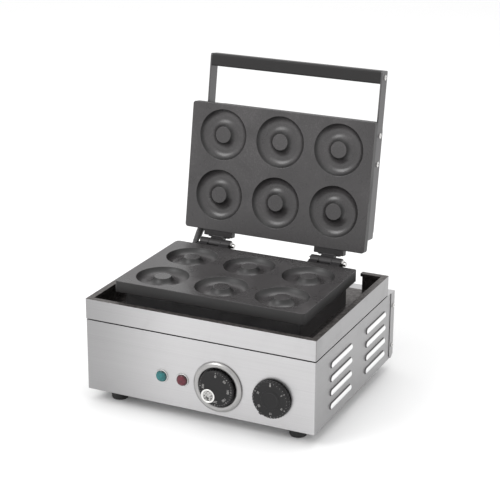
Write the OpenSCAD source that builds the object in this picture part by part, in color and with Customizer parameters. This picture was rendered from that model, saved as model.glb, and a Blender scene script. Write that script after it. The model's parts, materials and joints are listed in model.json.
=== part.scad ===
// Electric donut maker: a stainless case with a drip tray, a fixed lower mould,
// and a hinged lid that carries the upper mould. Shown with the lid open.
// +X is the operator's right, +Y is the rear, +Z is up. Millimetres.

/* [Case] */
// Width of the case and of the tray on it
case_w = 410; // [370:1:500]
// Depth of the case, front to rear
case_d = 348; // [330:1:430]
// Height of the case, without feet and tray
case_h = 123; // [110:1:160]
// Outside radius of the case's front bends
case_bend_r = 3; // [2:0.5:6]
// Thickness of all sheet metal
sheet_t = 1.2; // [0.8:0.1:1.6]
// Width of the ledge left round the case's top opening
ledge_w = 62; // [50:1:70]
// Width of the rear panel's flanges, which lap the sides
rear_flange_w = 17; // [12:1:24]

/* [Louvres] */
// Number of louvres in a column
louvre_rows = 4; // [2:1:4]
// Height from one louvre to the next
louvre_pitch = 24; // [16:1:26]
// Length of one louvre
louvre_l = 93; // [60:1:100]
// Radius of the pressed rib
louvre_r = 7; // [4:0.5:8]
// How far the rib stands out of the side
louvre_out = 4; // [2.5:0.1:5]
// Distance from the case's front to the middle of the front column
louvre_front_y = 105; // [95:1:115]
// Distance from the middle of one column to the next
louvre_column_pitch = 154; // [130:1:158]
// Height of the lowest louvre over the case's underside
louvre_base_z = 23; // [18:1:28]

/* [Feet] */
// Height of the rubber feet
foot_h = 22; // [12:1:30]
// Diameter of a foot at its foot plate
foot_d = 30; // [22:1:34]
// Distance from the case's side to a foot's axis
foot_inset_x = 42; // [30:1:60]
// Distance from the case's front or rear to a foot's axis
foot_inset_y = 34; // [30:1:60]

/* [Tray] */
// Depth of the tray, front to rear
tray_d = 318; // [300:1:330]
// Height of the tray's walls
tray_h = 34.3; // [28:0.1:45]
// Shadow gap between the case and the tray
tray_gap = 2.2; // [1:0.1:3]
// Width of the tray's rim, which is folded inwards
rim_w = 10.5; // [8:0.5:14]
// Length of the rear wall that stays at each corner
rear_stub_w = 48; // [40:1:54]

/* [Moulds] */
// Width of both mould plates
plate_w = 339; // [330:1:360]
// Length of both mould plates, front to rear
plate_l = 223; // [218:1:240]
// Distance from the case's front to the moulds
plate_setback = 35; // [28:1:50]
// Thickness of the lower mould plate
lower_plate_t = 19.5; // [17:0.5:24]
// Thickness of the upper mould plate
upper_plate_t = 14; // [13:0.5:18]
// Radius of the mould plates' corners
plate_corner_r = 5; // [3:0.5:8]
// Outside diameter of a cavity at the mould's face
cavity_d = 89; // [80:1:92]
// Diameter of the post in the middle of a cavity
post_d = 28; // [22:1:34]
// Depth of a cavity in the lower mould
lower_cavity_depth = 11; // [8:0.5:13]
// Depth of a cavity in the upper mould
upper_cavity_depth = 9; // [7:0.5:10]
// Distance between cavities across the mould
cavity_pitch_x = 108; // [104:1:112]
// Distance between cavities along the mould
cavity_pitch_y = 106; // [104:1:110]
// How far the cavities stand from the plates' middle towards the front
cavity_shift = 5.3; // [0:0.1:6]
// Gap between the closed moulds
mating_gap = 0.5; // [0.3:0.1:1]

/* [Heater box] */
// Height of the box under the lower mould
box_h = 39.3; // [36:0.1:60]
// How far the box stands in from the mould's edge
box_inset = 12.7; // [8:0.1:20]
// Diameter of the tubular heating elements
element_d = 7.4; // [6:0.1:8.5]
// Distance between the runs of an element
element_pitch = 46; // [30:1:48]
// Thickness of the plates that clamp the elements
clamp_t = 2; // [1.5:0.1:3]
// Thickness of the insulation behind each clamp plate
insulation_t = 12; // [8:1:15]

/* [Lid] */
// How far the lid opens, from flat
open_angle = 99.2; // [90:0.1:105]
// Half the width of the lid's cover
cover_half_w = 158; // [150:0.5:160]
// Distance from the moulds' rear edge to the cover
cover_start = 12; // [10:1:20]
// Length of the cover
cover_l = 205; // [195:1:210]
// Height of the cover's back over the mould's face
cover_top = 77; // [65:1:90]
// Radius of the cover's corners
cover_corner_r = 16; // [8:1:24]

/* [Handle] */
// Distance from the moulds' rear edge to the arms' far end
arm_reach = 305.5; // [285:0.5:330]
// Width of the arms' flat steel
arm_w = 25.4; // [20:0.1:30]
// Thickness of the arms' flat steel
arm_t = 2.5; // [2:0.5:4]
// Height of the arms' near edge over the mould's face
arm_start_h = 37.6; // [30:0.1:42]
// Height of the grip, along the arms
grip_h = 21.8; // [16:0.1:28]

/* [Hinges] */
// Distance from the moulds' rear edge to the hinge axis
hinge_back = 22.3; // [20:0.1:28]
// Depth of the hinge axis under the closed lid's face
hinge_drop = 3.9; // [2:0.1:6]
// Distance from the middle of the machine to a hinge
hinge_x = 105; // [95:1:110]
// Width of a lower hinge bracket
hinge_w = 56; // [50:1:64]
// Width of one ear of a lower hinge bracket
ear_w = 16; // [12:1:18]
// Diameter of the hinge pins
pin_d = 8; // [6:0.5:10]
// Radius of the knuckles round the pins
knuckle_r = 9; // [8:0.5:11]

/* [Controls] */
// Height of the controls' axes over the case's underside
control_z = 49.5; // [44:0.5:60]
// Place of the green lamp
green_x = -64.5; // [-90:0.5:-55]
// Place of the red lamp
red_x = -27; // [-30:0.5:-20]
// Place of the thermostat
thermostat_x = 37; // [30:0.5:42]
// Place of the timer
timer_x = 132.5; // [125:0.5:145]
// Outside diameter of the thermostat's bezel
bezel_d = 86; // [78:1:88]
// Diameter of the thermostat's dial
dial_d = 63; // [56:1:66]
// Diameter of the timer's dial
timer_d = 64.5; // [56:0.5:68]
// How far the dials stand out of the case
dial_out = 10; // [9:0.5:14]
// Diameter of the bright cap on the thermostat's dial
cap_d = 24; // [18:0.5:26]
// Diameter of a lamp's ring
lamp_d = 22; // [16:0.5:24]

/* [Rear] */
// Bore of the mains cable gland
gland_bore_d = 9; // [7:0.5:11]
// How far the gland stands out of the rear panel
gland_out = 14; // [10:1:20]
// Place of the gland across the case
gland_x = -130; // [-150:1:-110]

/* [Hidden] */
$fn = 48;

// Colours, as on the real machine
steel_col = [0.78, 0.78, 0.79];
dark_steel_col = [0.42, 0.41, 0.42];
cast_col = [0.20, 0.19, 0.20];
black_col = [0.09, 0.09, 0.09];
chrome_col = [0.86, 0.86, 0.87];
green_col = [0.10, 0.52, 0.48];
red_col = [0.52, 0.06, 0.16];
white_col = [0.92, 0.90, 0.86];
copper_col = [0.72, 0.45, 0.28];

// Small clearances
eps = 0.01;
sheet_fit = 0.2;
pin_fit = 0.05;
side_fit = 0.5;
panel_fit = 0.1;

// Fasteners
m4 = 4;
m5 = 5;
m6 = 6;
screw_head_k = 1.9;
screw_head_h = 2.6;
nut_k = 1.75;
nut_h_k = 0.8;
bolt_depth = 11;
washer_d = 18;

// Heater studs, about the middle of a mould
stud_x = plate_w / 2 - 34;
stud_y = plate_l / 2 - 38;
stud_proud = 5.5;
stud_tip_gap = 0.5;

// The bright cap on the thermostat's dial
cap_t = 2.2;
cap_proud = 1.4;
cap_turn = 227;
cap_offset = dial_d / 2 - cap_d / 2 - 0.4;

// Heights
z_case = foot_h;
z_case_top = z_case + case_h;
z_tray = z_case_top + tray_gap;
z_floor = z_tray + sheet_t;
z_rim = z_tray + tray_h;
z_plate = z_floor + box_h;
z_mould = z_plate + lower_plate_t;
z_lid = z_mould + mating_gap;
z_control = z_case + control_z;
z_axis = z_lid - hinge_drop;

// The lid's rearmost point at rest sets where the machine stands about Y = 0
lean = open_angle - 90;
rear_of_arm = (arm_reach + hinge_back) * sin(lean) + (arm_start_h + arm_w + hinge_drop) * cos(lean);
rear_of_cover = (cover_start + cover_l + hinge_back) * sin(lean) + (cover_top + hinge_drop) * cos(lean);
axis_from_front = plate_setback + plate_l + hinge_back;
stud_end_h = cover_top + stud_proud + hinge_drop;
rear_of_studs = (plate_l / 2 + stud_y + hinge_back + m6 / 2) * sin(lean) + stud_end_h * cos(lean);
rearmost = axis_from_front + max(rear_of_arm, rear_of_cover, rear_of_studs);
foremost = dial_out + cap_proud;
y_front = foremost - (foremost + rearmost) / 2;
y_rear = y_front + case_d;
y_plate_front = y_front + plate_setback;
y_plate_rear = y_plate_front + plate_l;
y_plate_mid = y_plate_front + plate_l / 2;
y_axis = y_plate_rear + hinge_back;
y_tray_rear = y_front + tray_d;
half_w = case_w / 2;

// Cavities: a torus of groove_r sunk so that it cuts the stated width and depth
groove_w = (cavity_d - post_d) / 2;
groove_mid_r = (cavity_d + post_d) / 4;
function groove_r(depth) = (groove_w * groove_w / 4 + depth * depth) / (2 * depth);

// Depth of a stud's hole in the back of a mould, which stays out of the cavities
function stud_depth(t, depth) = min(m6, t - depth - stud_tip_gap);

// Openings in the case
top_hole_w = case_w - 2 * ledge_w - 60;
top_hole_l = plate_l - 110;
tray_hole_w = 90;
tray_hole_l = 60;
lamp_hole_d = 12.4;
spindle_hole_d = 10.5;
control_screw_x = 14;
bottom_flange_w = 13;
rear_chamfer = 8;
vent_w = 44;
vent_h = 5;
vent_pitch_x = 72;
vent_pitch_z = 18;
vent_x = 40;
vent_z = 36;

// Rear fittings
earth_x = gland_x + 36;
terminal_w = 60;
terminal_h = 18;
terminal_pitch = 11;
gland_thread_d = gland_bore_d + 6.8;
gland_nut_d = gland_bore_d + 15;

// Heater stacks
element_len = plate_w - 90;
clamp_w = plate_w - 2 * box_inset - 12;
clamp_l = plate_l - 2 * box_inset - 12;
inner_clamp_w = 2 * cover_half_w - 24;
inner_clamp_l = cover_l - 30;
// Depths of the clamp plate and of the pad behind a mould's back
stack_clamp_h = element_d + 2 * panel_fit;
stack_pad_h = stack_clamp_h + clamp_t + panel_fit;

// The thermostat's feeler, between the middle runs of the lower element
feeler_d = 6;
feeler_l = 60;
feeler_x = 20;
capillary_d = 2.4;
capillary_r = 8;
feeler_hole_d = 12;

// Depth of the thermostat's body behind the front panel
control_depth = 28;
spindle_d = 6;
dial_gap = 1;

// Handle
arm_mid_h = arm_start_h + arm_w / 2;
arm_start = cover_start + 4;
arm_screw_s = [cover_start + cover_l - 70, cover_start + cover_l - 21];
grip_screw_s = arm_reach - grip_h / 2;
arm_outer_x = cover_half_w + arm_t;
arm_corner_r = 3;
grip_edge_r = 3;

// Hinges
flange_t = 6;
leaf_w = hinge_w - 2 * ear_w - 2 * side_fit;
leaf_wide_w = hinge_w - 2;
leaf_foot_t = 10;
leaf_foot_h = upper_plate_t - 1;
leaf_bolt_x = leaf_w / 2 + 5;
leaf_bolt_z = z_lid + 1 + leaf_foot_h / 2;
bracket_bolt_x = (hinge_w - ear_w) / 2;
bracket_bolt_z = z_plate + 5;
pin_proud = 8;
// The heel on the leaf meets the bracket's lower rear edge when the lid is fully open
stop_clear_a = 1;
stop_inner_a = atan2(z_axis - z_plate, hinge_back - flange_t) - 180 + open_angle + stop_clear_a;
stop_outer_a = stop_inner_a + 30;
// It reaches a little past the bracket's lower rear edge, however far off that is
stop_reach = 1.1;
stop_r = sqrt(pow(hinge_back - flange_t, 2) + pow(z_axis - z_plate, 2)) + stop_reach;

// Lid wiring conduit
conduit_x = -hinge_x - hinge_w / 2 - 14;
conduit_d = 13;
ball_r = 7.2;
ball_fit = 0.5;
conduit_bend_r = 14;
conduit_h = 34;
conduit_rise_a = 53;
ferrule_l = 6;

// A rectangle with true round corners, about the origin
module round_rect(w, l, r) {
    square([w - 2 * r, l], center = true);
    square([w, l - 2 * r], center = true);
    for (x = [-1, 1], y = [-1, 1]) translate([x * (w / 2 - r), y * (l / 2 - r)]) circle(r = r);
}

// A plate with round corners that stands on z = 0
module round_plate(w, l, t, r) linear_extrude(t) round_rect(w, l, r);

// A pan-head screw: the head's seat is z = 0, the shank runs down
module pan_screw(d, shank) {
    difference() {
        union() {
            cylinder(d = d * screw_head_k, h = screw_head_h - 0.8);
            translate([0, 0, screw_head_h - 0.8]) cylinder(d1 = d * screw_head_k, d2 = d * 1.4, h = 0.8);
        }
        for (a = [0, 90]) rotate([0, 0, a]) translate([-d * 0.5, -0.5, screw_head_h - 1.2]) cube([d, 1, 2]);
    }
    translate([0, 0, -shank]) cylinder(d = d, h = shank + eps);
}

// A hexagon nut that stands on z = 0
module hex_nut(d) {
    difference() {
        cylinder(d = d * nut_k * 1.1547, h = d * nut_h_k, $fn = 6);
        translate([0, 0, -1]) cylinder(d = d - 0.1, h = d + 2);
    }
}

// A bent rod of diameter d that turns by angle a, from +X towards +Y, about its bend centre
module tube_bend(d, r, a) rotate_extrude(angle = a) translate([r, 0]) circle(d = d);

// Six places of the cavities, about the plate's middle
module at_cavities() {
    for (i = [-1, 0, 1], j = [-0.5, 0.5])
        translate([i * cavity_pitch_x, j * cavity_pitch_y - cavity_shift, 0]) children();
}

// Puts what is drawn about the closed mould's middle, on its face, in place
module at_mould(z) translate([0, y_plate_mid, z]) children();

// Turns the closed lid to where it rests open
module lid_at_rest() {
    translate([0, y_axis, z_axis]) rotate([-open_angle, 0, 0]) translate([0, -y_axis, -z_axis]) children();
}

// A place on the closed lid: s from the moulds' rear edge, h over the mould's face
module on_lid(x, s, h) translate([x, y_plate_rear - s, z_lid + h]) children();

// A place on the front panel, with +Z of what is drawn pointing out at the operator
module on_front(x) translate([x, y_front, z_control]) rotate([90, 0, 0]) children();

// Four stud places about a plate's middle
module at_studs() {
    for (x = [-1, 1], y = [-1, 1]) translate([x * stud_x, y * stud_y, 0]) children();
}

// A serpentine heating element: four runs along X, joined by half turns, on z = 0
module serpentine(len) {
    runs = 4;
    bend_r = element_pitch / 2;
    for (i = [0:runs - 1]) {
        y = (i - (runs - 1) / 2) * element_pitch;
        side = (i % 2 == 0) ? 1 : -1;
        translate([-len / 2 + bend_r, y, 0]) rotate([0, 90, 0]) cylinder(d = element_d, h = len - 2 * bend_r);
        if (i < runs - 1) {
            translate([side * (len / 2 - bend_r), y + bend_r, 0]) rotate([0, 0, side > 0 ? -90 : 90])
                tube_bend(element_d, bend_r, 180);
        }
    }
    // Both ends are cold pins of smaller diameter
    for (e = [0, runs - 1]) {
        y = (e - (runs - 1) / 2) * element_pitch;
        translate([-len / 2 + bend_r - 14, y, 0]) rotate([0, 90, 0]) cylinder(d = element_d * 0.55, h = 15);
    }
}

// A slot along X with round ends, for linear_extrude
module slot(w, h) {
    square([w, h], center = true);
    for (e = [-1, 1]) translate([e * w / 2, 0]) circle(d = h);
}

// A place on the rear panel, with +Z of what is drawn pointing out to the rear
module on_rear(x, z) translate([x, y_rear, z_case + z]) rotate([-90, 0, 0]) children();

// ---- Case -------------------------------------------------------------------------------

// One louvre's solid, of radius r, along Y about the side's outer face
module louvre_capsule(r) {
    reach = louvre_l / 2 - louvre_r;
    rotate([90, 0, 0]) cylinder(r = r, h = 2 * reach, center = true);
    for (e = [-1, 1]) translate([0, e * reach, 0]) sphere(r = r);
}

module at_louvres(side) {
    for (c = [0, 1], i = [0:louvre_rows - 1])
        translate([side * (half_w - louvre_r + louvre_out),
            y_front + louvre_front_y + c * louvre_column_pitch,
            z_case + louvre_base_z + i * louvre_pitch]) children();
}

module case_plan(inset) {
    r = case_bend_r - min(inset, case_bend_r - 0.5);
    w = case_w - 2 * inset;
    y_a = y_front + inset;
    translate([-w / 2, y_a + r]) square([w, y_rear - sheet_t - panel_fit - y_a - r]);
    translate([-w / 2 + r, y_a]) square([w - 2 * r, r + eps]);
    for (x = [-1, 1]) translate([x * (w / 2 - r), y_a + r]) circle(r = r);
}

module case_shell() color(steel_col) {
    difference() {
        union() {
            translate([0, 0, z_case]) linear_extrude(case_h) case_plan(0);
            for (side = [-1, 1]) at_louvres(side) louvre_capsule(louvre_r);
        }
        // Inside of the box, open at the rear, with a flange folded in along its lower edges
        translate([0, 0, z_case + sheet_t]) linear_extrude(case_h - 2 * sheet_t) case_plan(sheet_t);
        translate([0, 0, z_case - 1]) linear_extrude(case_h / 2) case_plan(bottom_flange_w);
        translate([-half_w + sheet_t, y_rear - 20, z_case + sheet_t])
            cube([case_w - 2 * sheet_t, 40, case_h - 2 * sheet_t]);
        translate([-half_w + bottom_flange_w, y_rear - 20, z_case - 1])
            cube([case_w - 2 * bottom_flange_w, 40, case_h / 2]);
        corner_wedge();
        // Opening in the top for the heater's studs and wiring
        translate([0, y_plate_mid, z_case_top - sheet_t - 1])
            round_plate(top_hole_w, top_hole_l, sheet_t + 2, 12);
        at_mould(z_case_top - sheet_t - 1) at_studs() cylinder(d = m6 + 1, h = sheet_t + 2);
        translate([conduit_x, y_axis, z_case_top - sheet_t - 1]) cylinder(d = conduit_d + 1, h = sheet_t + 2);
        // The louvres are hollow, and open along their lower edge
        for (side = [-1, 1]) at_louvres(side) {
            louvre_capsule(louvre_r - sheet_t);
            translate([side * (louvre_r - louvre_out + 4), 0, -louvre_r])
                cube([8, louvre_l - 14, 4.2], center = true);
        }
        for (x = [green_x, red_x]) on_front(x) translate([0, 0, -5]) cylinder(d = lamp_hole_d, h = 10);
        for (x = [thermostat_x, timer_x]) on_front(x) translate([0, 0, -5]) {
            cylinder(d = spindle_hole_d, h = 10);
            for (s = [-1, 1]) translate([s * control_screw_x, 0, 0]) cylinder(d = m4 + 0.4, h = 10);
        }
        at_flange_screws() translate([0, 0, -10]) cylinder(d = m4, h = 20);
        at_bottom_screws() translate([0, 0, -5]) cylinder(d = m4, h = 7);
    }
}

// What the rear lower corner of the case loses
module corner_wedge() {
    translate([0, y_rear, z_case]) rotate([45, 0, 0])
        cube([case_w + 10, rear_chamfer, rear_chamfer], center = true);
}

// Places of the screws that hold the bottom plate to the case's flanges, +Z pointing down
module at_bottom_screws() {
    for (x = [-1, 1], y = [0.06, 0.5, 0.92])
        translate([x * (half_w - bottom_flange_w / 2), y_front + y * case_d, z_case])
            mirror([0, 0, 1]) children();
}

// Places of the screws that hold the rear panel's flanges, +Z pointing out
module at_flange_screws() {
    for (side = [-1, 1], z = [0.2, 0.8])
        translate([side * (half_w + sheet_t), y_rear - rear_flange_w / 2, z_case + z * case_h])
            rotate([0, side * 90, 0]) children();
}

module rear_panel() color(steel_col) {
    difference() {
        translate([-half_w - sheet_t, y_rear - rear_flange_w, z_case])
            cube([case_w + 2 * sheet_t, rear_flange_w, case_h]);
        translate([-half_w, y_rear - rear_flange_w - 1, z_case - 1])
            cube([case_w, rear_flange_w + 1 - sheet_t, case_h + 2]);
        // The flanges' lower front corners are cut off too
        translate([0, y_rear - rear_flange_w, z_case]) rotate([45, 0, 0])
            cube([case_w + 10, rear_chamfer, rear_chamfer], center = true);
        corner_wedge();
        for (c = [-1:1], i = [0:3]) on_rear(vent_x + c * vent_pitch_x, vent_z + i * vent_pitch_z)
            translate([0, 0, -5]) linear_extrude(10) slot(vent_w, vent_h);
        on_rear(gland_x, control_z) translate([0, 0, -10]) cylinder(d = gland_thread_d + 0.2, h = 20);
        on_rear(earth_x, control_z) translate([0, 0, -10]) cylinder(d = m5, h = 20);
        at_flange_screws() translate([0, 0, -5]) cylinder(d = m4 + 0.4, h = 10);
    }
}

module bottom_plate() color(steel_col) {
    gap = sheet_t + sheet_fit;
    front_gap = case_bend_r + sheet_fit;
    difference() {
        translate([-half_w + gap, y_front + front_gap, z_case + sheet_t])
            cube([case_w - 2 * gap, case_d - front_gap - gap, sheet_t]);
        corner_wedge();
        at_feet() translate([0, 0, -5]) cylinder(d = m5 + 0.4, h = 10);
        at_bottom_screws() translate([0, 0, -5]) cylinder(d = m4, h = 7);
        for (i = [-4:4]) translate([i * 24, y_plate_mid, z_case]) rotate([0, 0, 90])
            linear_extrude(2 * sheet_t + 1) slot(90, 6);
    }
}

module at_feet() {
    for (x = [-1, 1], y = [y_front + foot_inset_y, y_rear - foot_inset_y])
        translate([x * (half_w - foot_inset_x), y, z_case]) children();
}

module feet() color(black_col) {
    at_feet() difference() {
        union() {
            translate([0, 0, -foot_h]) cylinder(d1 = foot_d - 3.5, d2 = foot_d - 1.5, h = 2.5);
            translate([0, 0, -foot_h + 2.5])
                cylinder(d1 = foot_d - 1.5, d2 = foot_d, h = foot_h - 2.5 + sheet_t);
        }
        translate([0, 0, -foot_h - 1]) cylinder(d = m5 * 2.6, h = foot_h - 5);
        translate([0, 0, -foot_h]) cylinder(d = m5 + 0.4, h = foot_h + 3);
    }
}

module foot_screws() color(chrome_col) {
    at_feet() {
        translate([0, 0, -6]) mirror([0, 0, 1]) pan_screw(m5, 14);
        translate([0, 0, 2 * sheet_t]) hex_nut(m5);
    }
}

// ---- Tray and lower mould ---------------------------------------------------------------

module drip_tray() color(steel_col) {
    lip = 4;
    mid_y = y_front + tray_d / 2;
    difference() {
        translate([0, mid_y, z_tray]) round_plate(case_w, tray_d, tray_h, 1.5);
        // The trough
        translate([0, mid_y, z_floor]) round_plate(case_w - 2 * rim_w, tray_d - 2 * rim_w, tray_h, 1);
        translate([0, mid_y, z_floor])
            round_plate(case_w - 2 * sheet_t, tray_d - 2 * sheet_t, tray_h - 2 * sheet_t - lip, 1);
        difference() {
            translate([0, mid_y, z_floor])
                round_plate(case_w - 2 * sheet_t, tray_d - 2 * sheet_t, tray_h - 2 * sheet_t, 1);
            translate([0, mid_y, z_floor])
                round_plate(case_w - 2 * (rim_w - sheet_t), tray_d - 2 * (rim_w - sheet_t), tray_h, 1);
        }
        // The rear wall stands only at the corners
        translate([-half_w + rear_stub_w, y_tray_rear - rim_w - 1, z_floor])
            cube([case_w - 2 * rear_stub_w, rim_w + 2, tray_h]);
        // Wiring opening and stud holes
        translate([0, y_plate_mid, z_tray - 1]) round_plate(tray_hole_w, tray_hole_l, sheet_t + 2, 8);
        at_mould(z_tray - 1) at_studs() cylinder(d = m6 + 1, h = sheet_t + 2);
        translate([conduit_x, y_axis, z_tray - 1]) cylinder(d = conduit_d + 1, h = sheet_t + 2);
    }
}

module lower_heater_box() color(dark_steel_col) {
    w = plate_w - 2 * box_inset;
    l = plate_l - 2 * box_inset;
    lip = 7;
    at_mould(z_floor) difference() {
        round_plate(w, l, box_h, 3);
        translate([0, 0, -1]) round_plate(w - 2 * sheet_t, l - 2 * sheet_t, box_h + 1 - sheet_t, 2);
        translate([0, 0, -1]) round_plate(w - 2 * lip, l - 2 * lip, box_h + 3, 2);
    }
}

// A mould plate with its face at z = 0 and its body below
module mould_plate(t, depth) {
    difference() {
        translate([0, 0, -t]) round_plate(plate_w, plate_l, t, plate_corner_r);
        translate([0, 0, groove_r(depth) - depth]) at_cavities()
            rotate_extrude($fn = 96) translate([groove_mid_r, 0]) circle(r = groove_r(depth));
        translate([0, 0, -t]) at_studs() translate([0, 0, -1])
            cylinder(d = m6, h = stud_depth(t, depth) + 1);
    }
}

// Places of the bolts that hold the hinges to a plate's rear edge, +Z pointing to the rear
module at_hinge_bolts(x, z) {
    for (side = [-1, 1], e = [-1, 1])
        translate([side * hinge_x + e * x, y_plate_rear, z]) rotate([-90, 0, 0]) children();
}

module lower_mould_plate() color(cast_col) {
    difference() {
        at_mould(z_mould) mould_plate(lower_plate_t, lower_cavity_depth);
        at_hinge_bolts(bracket_bolt_x, bracket_bolt_z) translate([0, 0, -bolt_depth])
            cylinder(d = m5, h = bolt_depth + 1);
    }
}

module lower_heating_element() color(dark_steel_col) {
    at_mould(z_plate - element_d / 2 - panel_fit) serpentine(element_len);
}

module clamp_sheet(w, l) {
    difference() {
        round_plate(w, l, clamp_t, 4);
        at_studs() translate([0, 0, -1]) cylinder(d = m6 + 0.6, h = clamp_t + 2);
        translate([feeler_x + capillary_r, 0, -1]) cylinder(d = feeler_hole_d, h = clamp_t + 2);
    }
}

module insulation_pad(w, l) {
    difference() {
        round_plate(w - 8, l - 8, insulation_t, 4);
        at_studs() translate([0, 0, -1]) cylinder(d = m6 + 1, h = insulation_t + 2);
        translate([feeler_x + capillary_r, 0, -1]) cylinder(d = feeler_hole_d, h = insulation_t + 2);
    }
}

module lower_clamp_plate() color(dark_steel_col) {
    at_mould(z_plate - stack_clamp_h - clamp_t) clamp_sheet(clamp_w, clamp_l);
}

module lower_insulation() color(white_col) {
    at_mould(z_plate - stack_pad_h - insulation_t) insulation_pad(clamp_w, clamp_l);
}

// Washers that hold the tray clear of the case
module tray_spacers() color(chrome_col) {
    at_mould(z_case_top) at_studs() difference() {
        cylinder(d = washer_d, h = tray_gap);
        translate([0, 0, -1]) cylinder(d = m6 + 0.6, h = tray_gap + 2);
    }
}

module lower_studs() color(chrome_col) {
    foot_z = z_case_top - sheet_t;
    tip_z = z_plate + stud_depth(lower_plate_t, lower_cavity_depth) - stud_tip_gap;
    at_mould(0) at_studs() {
        translate([0, 0, foot_z - 9]) cylinder(d = m6 - 0.05, h = tip_z - foot_z + 9);
        translate([0, 0, foot_z - m6 * nut_h_k - panel_fit]) hex_nut(m6);
        translate([0, 0, z_floor + panel_fit]) hex_nut(m6);
        translate([0, 0, z_plate - stack_pad_h - insulation_t - panel_fit - m6 * nut_h_k]) hex_nut(m6);
    }
}

// ---- Controls ---------------------------------------------------------------------------

module control_body(w, h, depth) {
    difference() {
        union() {
            translate([-w / 2, -h / 2, -depth - sheet_t]) cube([w, h, depth]);
            // Contact tags at the back
            for (x = [-1, 1], y = [-1, 1])
                translate([x * w / 4 - 2.5, y * h / 4 - 0.4, -depth - sheet_t - 8]) cube([5, 0.8, 8 + eps]);
        }
        translate([0, 0, -15]) cylinder(d = spindle_d + 2 * pin_fit, h = 20);
        for (s = [-1, 1]) translate([s * control_screw_x, 0, -10]) cylinder(d = m4, h = 12);
    }
}

module thermostat_body() color(white_col) on_front(thermostat_x) control_body(44, 36, control_depth);
module timer_body() color(dark_steel_col) on_front(timer_x) control_body(48, 48, control_depth + 6);

// The thermostat's feeler: a bulb against the lower mould, with its capillary
module thermostat_bulb() color(copper_col) {
    bulb_z = z_plate - feeler_d / 2 - 4 * panel_fit;
    low_z = z_control + 6;
    back_y = y_front + sheet_t + control_depth;
    translate([feeler_x - feeler_l, y_plate_mid, bulb_z]) rotate([0, 90, 0])
        cylinder(d = feeler_d, h = feeler_l);
    translate([feeler_x, y_plate_mid, bulb_z - capillary_r]) {
        rotate([90, 0, 0]) tube_bend(capillary_d, capillary_r, 90);
        translate([capillary_r, 0, low_z - bulb_z + 2 * capillary_r])
            cylinder(d = capillary_d, h = bulb_z - low_z - 2 * capillary_r);
    }
    translate([feeler_x + capillary_r, y_plate_mid - capillary_r, low_z + capillary_r]) {
        rotate([90, 0, 90]) rotate([0, 0, -90]) tube_bend(capillary_d, capillary_r, 90);
        translate([0, 0, -capillary_r]) rotate([90, 0, 0])
            cylinder(d = capillary_d, h = y_plate_mid - capillary_r - back_y);
    }
}

module thermostat_bezel() color(chrome_col) {
    r_out = bezel_d / 2;
    r_in = dial_d / 2 + 1.2;
    on_front(thermostat_x) rotate_extrude($fn = 96)
        polygon([[r_in, panel_fit], [r_out, panel_fit], [r_out, 2.6], [r_out - 1.2, 4.6],
            [r_out - 3.4, 5.4], [r_in + 1.5, 4.4], [r_in, 3.4]]);
}

module lamp_lens() {
    r = lamp_d / 2 - 1.2;
    dome_r = lamp_d * 0.65;
    cylinder(r = r, h = 2.2);
    intersection() {
        translate([0, 0, 2.2 - sqrt(dome_r * dome_r - r * r)]) sphere(r = dome_r);
        translate([0, 0, 2.2 - eps]) cylinder(r = r, h = 8);
    }
    translate([0, 0, -4]) cylinder(d = 10, h = 4 + eps);
}

module lamp_green_lens() color(green_col) on_front(green_x) translate([0, 0, panel_fit]) lamp_lens();
module lamp_red_lens() color(red_col) on_front(red_x) translate([0, 0, panel_fit]) lamp_lens();

module lamp_rings() color(chrome_col) {
    for (x = [green_x, red_x]) on_front(x) rotate_extrude()
        polygon([[lamp_d / 2 - 1.1, panel_fit], [lamp_d / 2, panel_fit], [lamp_d / 2, 1.2],
            [lamp_d / 2 - 0.5, 1.9], [lamp_d / 2 - 1.1, 1.9]]);
}

module lamp_bodies() color(black_col) {
    for (x = [green_x, red_x]) on_front(x) translate([0, 0, -sheet_t - 26 - panel_fit]) difference() {
        union() {
            cylinder(d = 14, h = 26);
            for (s = [-1, 1]) translate([s * 3.5 - 0.4, -2.5, -7]) cube([0.8, 5, 7 + eps]);
        }
        translate([0, 0, 22]) cylinder(d = 10.4, h = 6);
    }
}

module control_screws() color(chrome_col) {
    for (x = [thermostat_x, timer_x]) on_front(x)
        for (s = [-1, 1]) translate([s * control_screw_x, 0, 0]) pan_screw(m4 - 0.1, 9);
}

// A dial whose base is z = 0, of diameter d, with a bevelled and fluted rim
module dial(d, t) {
    difference() {
        union() {
            cylinder(d = d, h = t - 2);
            translate([0, 0, t - 2]) cylinder(d1 = d, d2 = d - 4, h = 2);
        }
        translate([0, 0, -1]) cylinder(d = spindle_d + 0.02, h = t - 2);
        // Hollow behind, which clears the panel's screws
        translate([0, 0, -1]) difference() {
            cylinder(d = d - 6, h = 4.5);
            cylinder(d = 14, h = 5);
        }
    }
}

module thermostat_knob() color(black_col) {
    on_front(thermostat_x) translate([0, 0, dial_gap]) difference() {
        dial(dial_d, dial_out - dial_gap);
        translate([0, 0, dial_out - dial_gap + cap_proud - cap_t]) at_cap() cylinder(d = cap_d + 0.1, h = 3);
    }
}

// The place of the bright cap let into the thermostat's dial, off its middle
module at_cap() rotate([0, 0, cap_turn]) translate([cap_offset, 0, 0]) children();

module thermostat_cap() color(chrome_col) {
    on_front(thermostat_x) translate([0, 0, dial_out + cap_proud - cap_t]) at_cap() rotate_extrude()
        polygon([[0, 0], [cap_d / 2, 0], [cap_d / 2, cap_t - 0.7], [cap_d / 2 - 0.8, cap_t],
            [cap_d / 2 - 2.2, cap_t], [cap_d / 2 - 2.8, cap_t - 0.7], [0, cap_t - 0.7]]);
}

module spindle() {
    translate([0, 0, -sheet_t - 12]) cylinder(d = spindle_d, h = sheet_t + 12 + dial_out - 3);
}

module thermostat_spindle() color(chrome_col) on_front(thermostat_x) spindle();
module timer_spindle() color(chrome_col) on_front(timer_x) spindle();

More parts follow.
